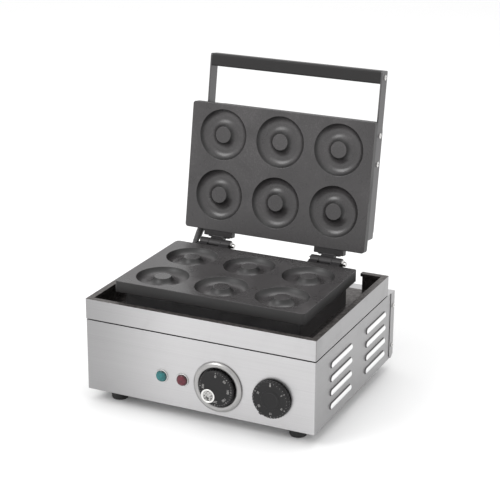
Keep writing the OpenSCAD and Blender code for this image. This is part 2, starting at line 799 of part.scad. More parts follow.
module timer_knob() color(black_col) {
    on_front(timer_x) translate([0, 0, dial_gap]) {
        dial(timer_d, dial_out - dial_gap);
        // Thumb tab on the rim
        rotate([0, 0, 236]) translate([timer_d / 2 - 1.5, -3, 0]) cube([4, 6, 4]);
    }
}

// ---- Inside and rear --------------------------------------------------------------------

module terminal_block() color(white_col) {
    block_x = gland_x + 10;
    block_y = y_rear - 80;
    block_z = z_case + 2 * sheet_t;
    difference() {
        translate([block_x, block_y, block_z]) cube([terminal_w, 24, terminal_h]);
        for (i = [0:4]) translate([block_x + 8 + i * terminal_pitch, block_y + 6, block_z + 6]) {
            for (y = [0, 12]) translate([0, y, 0]) cylinder(d = 4.5, h = terminal_h);
            translate([0, -10, 3]) rotate([-90, 0, 0]) cylinder(d = 4, h = 40);
        }
    }
}

module cable_gland() color(black_col) {
    on_rear(gland_x, control_z) difference() {
        union() {
            cylinder(d = gland_nut_d, h = 5, $fn = 6);
            translate([0, 0, 5 - eps]) cylinder(d = gland_bore_d + 8, h = gland_out - 5);
            translate([0, 0, -sheet_t - 10]) cylinder(d = gland_thread_d, h = sheet_t + 10 + eps);
            translate([0, 0, -sheet_t - 6]) cylinder(d = gland_nut_d, h = 5.5, $fn = 6);
        }
        translate([0, 0, -20]) cylinder(d = gland_bore_d, h = 60);
    }
}

module earth_stud() color(chrome_col) {
    on_rear(earth_x, control_z) {
        translate([0, 0, -sheet_t - 12]) cylinder(d = m5 - 0.1, h = sheet_t + 12 + 12);
        translate([0, 0, panel_fit]) hex_nut(m5);
        translate([0, 0, -sheet_t - m5 * nut_h_k - panel_fit]) hex_nut(m5);
    }
}

module panel_screws() color(chrome_col) {
    at_flange_screws() pan_screw(m4 - 0.1, 8);
    at_bottom_screws() pan_screw(m4 - 0.1, 5);
}

// ---- Hinges -----------------------------------------------------------------------------

// The lower bracket: a flange on the mould's rear edge, with an ear at each end
module hinge_bracket() {
    flange_top = z_mould - 1;
    difference() {
        union() {
            translate([-hinge_w / 2, y_plate_rear, z_plate]) cube([hinge_w, flange_t, flange_top - z_plate]);
            for (side = [-1, 1]) translate([side * (hinge_w - ear_w) / 2, 0, 0]) ear();
        }
        translate([-hinge_w, y_axis, z_axis]) rotate([0, 90, 0]) cylinder(d = pin_d + 0.02, h = 2 * hinge_w);
        for (e = [-1, 1]) translate([e * bracket_bolt_x, y_plate_rear, bracket_bolt_z]) rotate([-90, 0, 0]) {
            translate([0, 0, -1]) cylinder(d = m5 + 0.4, h = flange_t + 2);
            translate([0, 0, flange_t]) cylinder(d = m5 * screw_head_k + 0.6, h = 40);
        }
    }
}

module ear() {
    translate([-ear_w / 2, 0, 0]) rotate([90, 0, 90]) linear_extrude(ear_w) {
        translate([y_axis, z_axis]) circle(r = knuckle_r);
        polygon([[y_plate_rear, z_plate], [y_plate_rear, z_mould - 1],
            [y_plate_rear + flange_t, z_mould - 1], [y_axis - knuckle_r * 0.6, z_axis + knuckle_r * 0.5],
            [y_axis + knuckle_r * 0.8, z_axis - knuckle_r * 0.6], [y_plate_rear + flange_t, z_plate]]);
    }
}

module hinge_bracket_left() color(cast_col) translate([-hinge_x, 0, 0]) hinge_bracket();
module hinge_bracket_right() color(cast_col) translate([hinge_x, 0, 0]) hinge_bracket();

module hinge_pin() {
    translate([-hinge_w / 2 - 3, y_axis, z_axis]) rotate([0, 90, 0]) {
        cylinder(d = pin_d, h = hinge_w + 3 + pin_proud);
        cylinder(d = pin_d * 1.5, h = 3 - panel_fit);
        translate([0, 0, hinge_w + 3 + panel_fit]) hex_nut_on(pin_d);
    }
}

// A thin nut already on its pin
module hex_nut_on(d) cylinder(d = d * 1.6, h = d * 0.5, $fn = 6);

module hinge_pin_left() color(chrome_col) translate([-hinge_x, 0, 0]) hinge_pin();
module hinge_pin_right() color(chrome_col) translate([hinge_x, 0, 0]) hinge_pin();

module hinge_bracket_bolts() color(dark_steel_col) {
    at_hinge_bolts(bracket_bolt_x, bracket_bolt_z) translate([0, 0, flange_t])
        pan_screw(m5 - 0.1, flange_t + bolt_depth - 1);
}

// The lid's leaf, drawn for the closed lid: a foot on the mould's rear edge and one knuckle
module hinge_leaf() {
    foot_y = y_plate_rear;
    difference() {
        union() {
            translate([-leaf_wide_w / 2, foot_y, z_lid + 1]) cube([leaf_wide_w, leaf_foot_t, leaf_foot_h]);
            translate([-leaf_w / 2, 0, 0]) rotate([90, 0, 90]) linear_extrude(leaf_w) {
                translate([y_axis, z_axis]) circle(r = knuckle_r);
                polygon([[foot_y + leaf_foot_t - eps, z_lid + 1],
                    [foot_y + leaf_foot_t - eps, z_lid + 1 + leaf_foot_h],
                    [y_axis + 1, z_axis + knuckle_r - 0.1], [y_axis, z_axis],
                    [y_axis - knuckle_r * cos(50), z_axis - knuckle_r * sin(50)]]);
                // Heel that meets the lower bracket when the lid is fully open
                polygon([[y_axis, z_axis],
                    [y_axis + stop_r * cos(stop_inner_a), z_axis + stop_r * sin(stop_inner_a)],
                    [y_axis + knuckle_r * cos(stop_outer_a), z_axis + knuckle_r * sin(stop_outer_a)]]);
            }
        }
        translate([-hinge_w, y_axis, z_axis]) rotate([0, 90, 0])
            cylinder(d = pin_d + 2 * pin_fit, h = 2 * hinge_w);
        for (e = [-1, 1]) translate([e * leaf_bolt_x, foot_y - 1, leaf_bolt_z]) rotate([-90, 0, 0])
            cylinder(d = m5 + 0.4, h = leaf_foot_t + 2);
    }
}

module hinge_leaf_left() color(cast_col) lid_at_rest() translate([-hinge_x, 0, 0]) hinge_leaf();
module hinge_leaf_right() color(cast_col) lid_at_rest() translate([hinge_x, 0, 0]) hinge_leaf();

module hinge_leaf_bolts() color(dark_steel_col) lid_at_rest() {
    at_hinge_bolts(leaf_bolt_x, leaf_bolt_z) translate([0, 0, leaf_foot_t])
        pan_screw(m5 - 0.1, leaf_foot_t + bolt_depth - 1);
}

// ---- Lid --------------------------------------------------------------------------------

module upper_mould_plate() color(cast_col) lid_at_rest() {
    difference() {
        at_mould(z_lid) mirror([0, 0, 1]) mould_plate(upper_plate_t, upper_cavity_depth);
        at_hinge_bolts(leaf_bolt_x, leaf_bolt_z) translate([0, 0, -bolt_depth])
            cylinder(d = m5, h = bolt_depth + 1);
    }
}

module upper_heating_element() color(dark_steel_col) lid_at_rest() {
    at_lid_stack(upper_plate_t + element_d / 2 + panel_fit) serpentine(element_len - 20);
}

// The lid's heater stack, about the mould's middle, at height h over its face
module at_lid_stack(h) translate([0, y_plate_mid, z_lid + h]) children();

module upper_clamp_plate() color(dark_steel_col) lid_at_rest() {
    at_lid_stack(upper_plate_t + stack_clamp_h) clamp_sheet(inner_clamp_w, inner_clamp_l);
}

module upper_insulation() color(white_col) lid_at_rest() {
    at_lid_stack(upper_plate_t + stack_pad_h) insulation_pad(inner_clamp_w, inner_clamp_l);
}

module upper_studs() color(chrome_col) lid_at_rest() {
    tip_h = upper_plate_t - stud_depth(upper_plate_t, upper_cavity_depth) + stud_tip_gap;
    at_lid_stack(0) at_studs() {
        translate([0, 0, tip_h]) cylinder(d = m6 - 0.05, h = cover_top + stud_proud - tip_h);
        translate([0, 0, upper_plate_t + stack_pad_h + insulation_t + panel_fit]) hex_nut(m6);
        translate([0, 0, cover_top - sheet_t - panel_fit - m6 * nut_h_k]) hex_nut(m6);
        translate([0, 0, cover_top + panel_fit]) hex_nut(m6);
    }
}

module upper_cover() color(dark_steel_col) lid_at_rest() {
    w = 2 * cover_half_w;
    mid_s = cover_start + cover_l / 2;
    base = upper_plate_t + panel_fit;
    difference() {
        on_lid(0, mid_s, base) round_plate(w, cover_l, cover_top - base, cover_corner_r);
        on_lid(0, mid_s, base - 1)
            round_plate(w - 2 * sheet_t, cover_l - 2 * sheet_t, cover_top - base + 1 - sheet_t,
                cover_corner_r - sheet_t);
        translate([0, y_plate_mid, z_lid + cover_top - 5]) at_studs() cylinder(d = m6 + 0.6, h = 10);
        for (s = arm_screw_s, side = [-1, 1]) on_lid(side * cover_half_w, s, arm_mid_h) rotate([0, 90, 0])
            cylinder(d = m5, h = 10, center = true);
        on_lid(conduit_x, cover_start, conduit_h) rotate([90, 0, 0])
            cylinder(d = conduit_d + 2.6, h = 24, center = true);
    }
}

module handle_arm(side) {
    len = arm_reach - arm_start;
    mid_s = (arm_reach + arm_start) / 2;
    x_in = side > 0 ? cover_half_w : -cover_half_w - arm_t;
    difference() {
        on_lid(x_in, mid_s, arm_mid_h) rotate([90, 0, 90]) linear_extrude(arm_t)
            round_rect(len, arm_w, arm_corner_r);
        for (s = [arm_screw_s[0], arm_screw_s[1], grip_screw_s]) on_lid(side * cover_half_w, s, arm_mid_h)
            rotate([0, 90, 0]) cylinder(d = m5 + 0.4, h = 20, center = true);
    }
}

module handle_arm_left() color(steel_col) lid_at_rest() handle_arm(-1);
module handle_arm_right() color(steel_col) lid_at_rest() handle_arm(1);

module handle_grip() color(black_col) lid_at_rest() {
    difference() {
        on_lid(-cover_half_w + panel_fit, arm_reach - grip_h / 2, arm_mid_h) rotate([90, 0, 90])
            linear_extrude(2 * (cover_half_w - panel_fit)) round_rect(grip_h, arm_w, grip_edge_r);
        for (side = [-1, 1]) on_lid(side * (cover_half_w - 24), grip_screw_s, arm_mid_h)
            rotate([0, side * 90, 0]) cylinder(d = m5, h = 30);
    }
}

module arm_screws() color(chrome_col) lid_at_rest() {
    for (s = arm_screw_s, side = [-1, 1]) on_lid(side * arm_outer_x, s, arm_mid_h) rotate([0, side * 90, 0]) {
        pan_screw(m5 - 0.1, 12);
        translate([0, 0, -arm_t - sheet_t - m5 * nut_h_k - panel_fit]) hex_nut(m5);
    }
}

module grip_screws() color(chrome_col) lid_at_rest() {
    for (side = [-1, 1]) on_lid(side * arm_outer_x, grip_screw_s, arm_mid_h) rotate([0, side * 90, 0])
        pan_screw(m5 - 0.1, 22);
}

// ---- Lid wiring conduit -----------------------------------------------------------------

module conduit_lower() color(dark_steel_col) {
    top = z_axis - ball_r - ball_fit;
    difference() {
        translate([conduit_x, y_axis, z_tray - 12]) cylinder(d = conduit_d, h = top - z_tray + 12);
        translate([conduit_x, y_axis, z_tray - 13]) cylinder(d = conduit_d - 3, h = top - z_tray + 20);
    }
}

module conduit_gland() color(chrome_col) {
    translate([conduit_x, y_axis, z_floor + panel_fit]) difference() {
        cylinder(d = conduit_d + 10, h = 7, $fn = 6);
        translate([0, 0, -1]) cylinder(d = conduit_d + 0.05, h = 20);
    }
}

// Leaves a ball on the hinge axis, climbs over the mould's edge and enters the cover
module conduit_upper() color(dark_steel_col) lid_at_rest() {
    turn = conduit_rise_a;
    // From the ball the tube climbs at the rise angle, then bends flat into the cover
    bend_drop = conduit_bend_r * (1 - cos(turn));
    climb_h = hinge_drop + conduit_h - bend_drop;
    climb = climb_h / sin(turn);
    bend_s = -hinge_back + climb * cos(turn) + conduit_bend_r * sin(turn);
    on_lid(conduit_x, -hinge_back, -hinge_drop) {
        sphere(r = ball_r);
        rotate([90 - turn, 0, 0]) cylinder(d = conduit_d, h = climb);
        rotate([90 - turn, 0, 0]) translate([0, 0, climb - ferrule_l / 2])
            cylinder(d = conduit_d + 1.2, h = ferrule_l);
    }
    on_lid(conduit_x, bend_s, conduit_h - conduit_bend_r) rotate([90, 0, 90]) rotate([0, 0, 90 - turn])
        tube_bend(conduit_d, conduit_bend_r, turn);
    on_lid(conduit_x, bend_s, conduit_h) rotate([90, 0, 0]) {
        cylinder(d = conduit_d, h = cover_start + 10 - bend_s);
        translate([0, 0, -ferrule_l / 2]) cylinder(d = conduit_d + 1.2, h = ferrule_l);
    }
}

case_shell();
rear_panel();
bottom_plate();
drip_tray();
lower_heater_box();
lower_mould_plate();
lower_heating_element();
lower_clamp_plate();
lower_insulation();
tray_spacers();
lower_studs();
thermostat_body();
thermostat_bulb();
thermostat_bezel();
timer_body();
lamp_green_lens();
lamp_red_lens();
lamp_rings();
lamp_bodies();
terminal_block();
control_screws();
feet();
foot_screws();
cable_gland();
earth_stud();
panel_screws();
hinge_bracket_left();
hinge_bracket_right();
hinge_pin_left();
hinge_pin_right();
hinge_bracket_bolts();
conduit_lower();
conduit_gland();
upper_mould_plate();
upper_heating_element();
upper_clamp_plate();
upper_insulation();
upper_studs();
upper_cover();
handle_arm_left();
handle_arm_right();
handle_grip();
arm_screws();
grip_screws();
hinge_leaf_left();
hinge_leaf_right();
hinge_leaf_bolts();
conduit_upper();
thermostat_knob();
thermostat_cap();
thermostat_spindle();
timer_knob();
timer_spindle();
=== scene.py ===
import json
import math

import bpy
import numpy as np
from bpy.props import FloatProperty, FloatVectorProperty, IntProperty, PointerProperty
from mathutils import Matrix, Vector


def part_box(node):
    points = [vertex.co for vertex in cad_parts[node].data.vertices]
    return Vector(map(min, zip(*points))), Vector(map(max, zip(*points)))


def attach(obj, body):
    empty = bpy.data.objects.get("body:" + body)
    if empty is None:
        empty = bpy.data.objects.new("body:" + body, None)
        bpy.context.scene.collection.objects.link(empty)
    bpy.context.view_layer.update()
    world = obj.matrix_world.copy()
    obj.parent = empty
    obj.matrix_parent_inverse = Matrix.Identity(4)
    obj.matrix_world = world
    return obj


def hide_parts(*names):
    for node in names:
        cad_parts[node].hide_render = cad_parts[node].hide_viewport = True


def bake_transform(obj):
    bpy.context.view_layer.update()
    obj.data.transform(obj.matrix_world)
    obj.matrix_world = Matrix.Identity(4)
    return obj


bl_info = {
    "name": "Donut maker finish",
    "version": (1, 0, 0),
    "blender": (4, 5, 0),
    "location": "View3D > Sidebar > Donut maker",
    "description": "Gives an electric donut maker its metals, dials, lamps and studio",
    "category": "Object",
}

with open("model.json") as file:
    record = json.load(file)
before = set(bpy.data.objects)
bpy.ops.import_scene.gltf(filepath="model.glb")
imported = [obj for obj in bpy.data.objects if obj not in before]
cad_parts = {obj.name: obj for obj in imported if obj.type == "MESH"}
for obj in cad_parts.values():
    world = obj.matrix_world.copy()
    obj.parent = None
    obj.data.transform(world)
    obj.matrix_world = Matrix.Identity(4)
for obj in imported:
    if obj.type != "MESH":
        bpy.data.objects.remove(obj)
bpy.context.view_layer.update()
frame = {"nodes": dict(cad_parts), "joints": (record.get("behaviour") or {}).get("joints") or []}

MM = 0.001
HINGE = next(j for j in frame["joints"] if j["name"] == "lid_hinge")
HINGE_AT = np.array(HINGE["pos_m"], float)
OPEN_ANGLE = math.radians(HINGE["range_deg"][1])


# ---- Places ---------------------------------------------------------------------------------


def turned_about_hinge(points, angle):
    """Points turned by angle about the hinge's axis, which lies along X."""
    c, s = math.cos(angle), math.sin(angle)
    turn = np.array([[1, 0, 0], [0, c, -s], [0, s, c]])
    return (np.asarray(points, float) - HINGE_AT) @ turn.T + HINGE_AT


def lid_as_opened(points):
    """Points drawn for the closed lid, moved to where the lid rests open."""
    return turned_about_hinge(points, -OPEN_ANGLE)


def corners_when_closed(node):
    """Lowest and highest corner of a lid node after the lid is turned back to closed."""
    mesh = frame["nodes"][node].data
    points = np.empty(len(mesh.vertices) * 3, np.float32)
    mesh.vertices.foreach_get("co", points)
    closed = turned_about_hinge(points.reshape(-1, 3), OPEN_ANGLE)
    return closed.min(0), closed.max(0)


def corners(node):
    """Lowest and highest corner of a node at rest, as arrays."""
    low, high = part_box(node)
    return np.array(low), np.array(high)


def on_front(points, centre_x, centre_z, face_y):
    """Points drawn with +Z out of the front panel, moved to a control's place on it."""
    p = np.asarray(points, float)
    return np.stack([p[..., 0] + centre_x, face_y - p[..., 2], p[..., 1] + centre_z], axis=-1)


# ---- Surfaces -------------------------------------------------------------------------------


def mesh_piece(name, points, faces, smooth=True):
    """An object made of points and faces, at the origin."""
    mesh = bpy.data.meshes.new(name)
    mesh.from_pydata(np.asarray(points, float).reshape(-1, 3).tolist(), [], faces)
    mesh.update()
    mesh.shade_smooth() if smooth else mesh.shade_flat()
    piece = bpy.data.objects.new(name, mesh)
    bpy.context.scene.collection.objects.link(piece)
    return piece


def ring_faces(rows, columns, caps=True):
    """Faces of a closed skin: quad (i, j), (i, j+1), (i+1, j+1), (i+1, j), columns joined round.

    Rows run up and columns run anticlockwise seen from above, so the faces point outwards.
    The first and the last row are each closed by one flat face.
    """
    index = np.arange(rows * columns).reshape(rows, columns)
    beside = np.roll(index, -1, axis=1)
    quads = np.stack([index[:-1], beside[:-1], beside[1:], index[1:]], axis=-1)
    faces = quads.reshape(-1, 4).tolist()
    if caps:
        faces.append(index[0, ::-1].tolist())
        faces.append(index[-1].tolist())
    return faces


def skin_piece(name, grid, caps=True):
    """An object whose skin joins a grid of points, rows by columns."""
    return mesh_piece(name, grid, ring_faces(*grid.shape[:2], caps=caps))


def rounded_profile(corner_points, radii, steps=6):
    """A line through corner_points whose inner corners are replaced by arcs of the given radii.

    Each arc is the quadratic curve (1-t)^2 A + 2t(1-t) C + t^2 B, which leaves the corner C's
    arms at A and B, radius away from it.
    """
    p = np.asarray(corner_points, float)
    line = [p[:1]]
    t = np.linspace(0, 1, steps)[:, None]
    for corner, before, after, radius in zip(p[1:-1], p[:-2], p[2:], radii):
        reach_a = min(radius, 0.49 * np.linalg.norm(before - corner))
        reach_b = min(radius, 0.49 * np.linalg.norm(after - corner))
        a = corner + (before - corner) / np.linalg.norm(before - corner) * reach_a
        b = corner + (after - corner) / np.linalg.norm(after - corner) * reach_b
        line.append((1 - t) ** 2 * a + 2 * t * (1 - t) * corner + t**2 * b)
    line.append(p[-1:])
    return np.concatenate(line)


def turned_surface(profile, columns=96, ripple=None):
    """A profile of (radius, height) turned about +Z.

    Point (i, j) is (r cos a, r sin a, h) with a = 2 pi j / columns, and r is the profile's
    radius less ripple(a) times the profile's third column where it has one.
    """
    profile = np.asarray(profile, float)
    angle = np.linspace(0, 2 * math.pi, columns, endpoint=False)[None, :]
    radius = profile[:, :1] * np.ones_like(angle)
    if ripple is not None:
        radius = radius - ripple(angle) * profile[:, 2:3]
    height = profile[:, 1:2] * np.ones_like(angle)
    return np.stack([radius * np.cos(angle), radius * np.sin(angle), height], axis=-1)


def round_rectangle(width, length, radius, per_corner=10):
    """Outline points of a rectangle with round corners, anticlockwise.

    Each corner is centre + radius (cos a, sin a) with a over a quarter turn.
    """
    quarter = np.linspace(0, math.pi / 2, per_corner)
    outline = []
    for k, (sx, sy) in enumerate(((1, 1), (-1, 1), (-1, -1), (1, -1))):
        a = quarter + k * math.pi / 2
        centre = np.array([sx * (width / 2 - radius), sy * (length / 2 - radius)])
        outline.append(centre + radius * np.stack([np.cos(a), np.sin(a)], axis=-1))
    return np.concatenate(outline)


def pressed_pan(width, length, radius, profile, per_corner=10):
    """A pan: the profile of (inset, height) carried round a rectangle with round corners."""
    rows = []
    for inset, height in profile:
        left = max(radius - inset, 0.4 * MM)
        outline = round_rectangle(width - 2 * inset, length - 2 * inset, left, per_corner)
        rows.append(np.column_stack([outline, np.full(len(outline), height)]))
    return np.stack(rows)


def swept_tube(path, radius, columns=28):
    """A tube round a path that lies in a plane of constant X.

    Point (i, j) is path_i + radius_i (cos a X + sin a N_i), where N_i is the path's normal in
    its plane: the tangent turned by a quarter about X. The columns are returned backwards, so
    a skin joined by ring_faces faces inwards.
    """
    path = np.asarray(path, float)
    tangent = np.gradient(path, axis=0)
    tangent /= np.linalg.norm(tangent, axis=1, keepdims=True)
    across = np.array([1.0, 0.0, 0.0])
    normal = np.cross(tangent, across)
    a = np.linspace(0, 2 * math.pi, columns, endpoint=False)[None, :, None]
    ring = np.cos(a) * across + np.sin(a) * normal[:, None, :]
    points = path[:, None, :] + radius[:, None, None] * ring
    return points[:, ::-1]


def smooth_line(points, step):
    """A curve through points, resampled at an even step along its length.

    Between points it is the Catmull-Rom cubic.
    """
    p = np.asarray(points, float)
    p = np.concatenate([2 * p[:1] - p[1:2], p, 2 * p[-1:] - p[-2:-1]])
    t = np.linspace(0, 1, 24, endpoint=False)[:, None]
    parts = []
    for a, b, c, d in zip(p[:-3], p[1:-2], p[2:-1], p[3:]):
        cubic = 2 * b + (c - a) * t + (2 * a - 5 * b + 4 * c - d) * t**2
        parts.append(0.5 * (cubic + (3 * b - a - 3 * c + d) * t**3))
    curve = np.concatenate(parts + [p[-2:-1]])
    length = np.concatenate([[0], np.cumsum(np.linalg.norm(np.diff(curve, axis=0), axis=1))])
    even = np.arange(0, length[-1], step)
    return np.stack([np.interp(even, length, curve[:, k]) for k in range(3)], axis=-1), even


def printed_mark(text, size, thickness):
    """Points and faces of a figure in the plain built-in letter, centred, raised by thickness."""
    curve = bpy.data.curves.new("figure", "FONT")
    curve.body = text
    curve.size = size
    curve.extrude = thickness / 2
    curve.align_x = "CENTER"
    curve.align_y = "CENTER"
    source = bpy.data.objects.new("figure", curve)
    bpy.context.scene.collection.objects.link(source)
    bpy.context.view_layer.update()
    mesh = bpy.data.meshes.new_from_object(source)
    points = np.array([v.co for v in mesh.vertices], float)
    faces = [list(f.vertices) for f in mesh.polygons]
    bpy.data.objects.remove(source)
    bpy.data.meshes.remove(mesh)
    bpy.data.curves.remove(curve)
    return points, faces


def ring_of_marks(figures, ticks, height, thickness):
    """Marks round a dial's face.

    figures are (text, angle, radius, size) and ticks are (angle, inner radius, outer radius,
    width). A mark's point (x, y) goes to the place at its radius and angle, upright there.
    """
    points, faces, count = [], [], 0
    for text, angle, radius, size in figures:
        p, f = printed_mark(text, size, thickness)
        c, s = math.cos(angle - math.pi / 2), math.sin(angle - math.pi / 2)
        flat = p[:, :2] @ np.array([[c, s], [-s, c]])
        place = radius * np.array([math.cos(angle), math.sin(angle)])
        points.append(np.column_stack([flat + place, p[:, 2] + height]))
        faces += [[i + count for i in face] for face in f]
        count += len(p)
    sides = [[0, 3, 2, 1], [4, 5, 6, 7], [0, 1, 5, 4], [1, 2, 6, 5], [2, 3, 7, 6], [3, 0, 4, 7]]
    for angle, inner, outer, width in ticks:
        out = np.array([math.cos(angle), math.sin(angle)])
        left = np.array([-out[1], out[0]])
        flat = [inner * out - left * width / 2, outer * out - left * width / 2,
                outer * out + left * width / 2, inner * out + left * width / 2]
        low, high = height - thickness / 2, height + thickness / 2
        points.append(np.array([[*q, h] for h in (low, high) for q in flat]))
        faces += [[i + count for i in face] for face in sides]
        count += 8
    return np.concatenate(points), faces


# ---- Shader sums ----------------------------------------------------------------------------


class Wire:
    """A socket of a shader, so that sums on it add Math nodes."""

    def __init__(self, shade, socket):
        self.shade = shade
        self.socket = socket

    def sum_of(self, operation, *values):
        settings = {"operation": operation}
        return self.shade.node("ShaderNodeMath", settings, dict(enumerate(values)))

    def __add__(self, other):
        return self.sum_of("ADD", self, other)

    __radd__ = __add__

    def __mul__(self, other):
        return self.sum_of("MULTIPLY", self, other)

    __rmul__ = __mul__

    def __sub__(self, other):
        return self.sum_of("SUBTRACT", self, other)

    def __rsub__(self, other):
        return self.sum_of("SUBTRACT", other, self)

    def __truediv__(self, other):
        return self.sum_of("DIVIDE", self, other)

    def __pow__(self, other):
        return self.sum_of("POWER", self, other)

    def __abs__(self):
        return self.sum_of("ABSOLUTE", self)

    def between(self, low, high):
        """0 below low, 1 above high, smooth between them."""
        ends = {"From Min": low, "From Max": high}
        settings = {"interpolation_type": "SMOOTHSTEP"}
        return self.shade.node("ShaderNodeMapRange", settings, {"Value": self, **ends})

    def clipped(self):
        return self.sum_of("MINIMUM", self.sum_of("MAXIMUM", self, 0.0), 1.0)


class Shade:
    """A material under construction."""

    def __init__(self, name):
        self.material = bpy.data.materials.new(name)
        self.material.use_nodes = True
        self.tree = self.material.node_tree
        self.skin = self.tree.nodes["Principled BSDF"]
        self.place = self.node("ShaderNodeTexCoord", {}, {}, out="Object")

    def node(self, kind, settings, inputs, out=0):
        """Adds a node: its settings first, then the values or links of its sockets."""
        made = self.tree.nodes.new(kind)
        for key, value in settings.items():
            setattr(made, key, value)
        for key, value in inputs.items():
            if value is None:
                continue
            if isinstance(value, Wire):
                self.tree.links.new(value.socket, made.inputs[key])
            else:
                made.inputs[key].default_value = value
        return Wire(self, made.outputs[out])

    def ramp(self, value, stops):
        """A colour ramp with stops of (place, colour)."""
        made = self.tree.nodes.new("ShaderNodeValToRGB")
        elements = made.color_ramp.elements
        while len(elements) < len(stops):
            elements.new(0.5)
        for element, (at, colour) in zip(elements, stops):
            element.position = at
            element.color = (*colour[:3], 1)
        self.tree.links.new(value.socket, made.inputs[0])
        return Wire(self, made.outputs[0])

    def shades(self, value, colour, *stops):
        """A ramp of one colour, with stops of (place, factor on the colour)."""
        return self.ramp(value, [(at, tint(colour, factor)) for at, factor in stops])

    def stretched(self, scale):
        """Object coordinates times scale, one factor for each axis."""
        return self.node("ShaderNodeVectorMath", {"operation": "MULTIPLY"},
                         {0: self.place, 1: scale})

    def noise(self, scale, detail=4.0, roughness=0.55, stretch=None, distortion=0.0):
        where = self.place if stretch is None else self.stretched(stretch)
        return self.node("ShaderNodeTexNoise", {}, {
            "Vector": where, "Scale": scale, "Detail": detail,
            "Roughness": roughness, "Distortion": distortion})

    def speckle(self, scale, smooth=0.6):
        """Small round cells, darkest in their middles."""
        return self.node("ShaderNodeTexVoronoi", {"feature": "SMOOTH_F1"}, {
            "Vector": self.place, "Scale": scale, "Smoothness": smooth}, out="Distance")

    def mixed(self, factor, colour_a, colour_b):
        sockets = {0: factor, 6: colour_a, 7: colour_b}
        return self.node("ShaderNodeMix", {"data_type": "RGBA"}, sockets, out=2)

    def axis(self, name):
        return self.node("ShaderNodeSeparateXYZ", {}, {0: self.place}, out=name)

    def facing(self, name):
        """How far the true surface faces along an axis, 0 to 1."""
        normal = self.node("ShaderNodeNewGeometry", {}, {}, out="True Normal")
        part = self.node("ShaderNodeSeparateXYZ", {}, {0: normal}, out=name)
        return abs(part)

    def tilt_from(self, direction):
        """0 where the piece's own surface faces along a direction, 1 where it lies across it."""
        normal = self.node("ShaderNodeNewGeometry", {}, {}, out="True Normal")
        own = self.node("ShaderNodeVectorTransform", {
            "vector_type": "NORMAL", "convert_from": "WORLD", "convert_to": "OBJECT"}, {0: normal})
        along = self.node("ShaderNodeVectorMath", {"operation": "DOT_PRODUCT"},
                          {0: own, 1: tuple(direction)}, out="Value")
        return 1.0 - abs(along)

    def inward(self, axis_name, middle, reach):
        """1 where the place along an axis is nearer than reach to the middle, else 0."""
        away = self.axis(axis_name) - middle
        return 1.0 - abs(away).between(reach, reach + 0.2 * MM)

    def creases(self, reach):
        """1 in corners and grooves that see little of the open air within reach, else 0."""
        open_air = self.node("ShaderNodeAmbientOcclusion", {"samples": 8},
                             {"Distance": reach}, out="AO")
        return 1.0 - open_air

    def soft_edges(self, radius):
        """The normal of the surface with its sharp edges rounded, and a mask of those edges."""
        rounded = self.node("ShaderNodeBevel", {"samples": 6}, {"Radius": radius})
        true = self.node("ShaderNodeNewGeometry", {}, {}, out="True Normal")
        same = self.node("ShaderNodeVectorMath", {"operation": "DOT_PRODUCT"},
                         {0: rounded, 1: true}, out="Value")
        return rounded, (1.0 - same).between(0.01, 0.2)

    def bumped(self, height, depth, normal=None):
        return self.node("ShaderNodeBump", {}, {
            "Height": height, "Distance": depth, "Strength": 1.0, "Normal": normal})

    def finish(self, base, gloss, normal=None, constants=None, glow=None):
        """Links what varies, sets the shader's other sockets, and returns the material."""
        links = {"Base Color": base, "Roughness": gloss, "Normal": normal, "Emission Color": glow}
        for key, value in (constants or {}).items():
            self.skin.inputs[key].default_value = value
        for key, value in links.items():
            if value is not None:
                self.tree.links.new(value.socket, self.skin.inputs[key])
        return self.material


def tint(colour, factor):
    """A colour times a factor, no part over 1."""
    return tuple(min(c * factor, 1.0) for c in colour[:3]) + (1.0,)


# ---- Finishes -------------------------------------------------------------------------------

# Strengths and colours of painted shade, and of the painted highlight on the louvres.
SIDE_SHADE = 0.34
LEFT_SHADE = 0.40
BLACK = (0, 0, 0, 1)
CREASE_SHADE = (0.012, 0.011, 0.011, 1)
FLANK_SHADE = (0.03, 0.028, 0.028, 1)
CREST_HIGHLIGHT = (0.95, 0.95, 0.95, 1)
SLOPE_SHADE = (0.0035, 0.003, 0.003, 1)


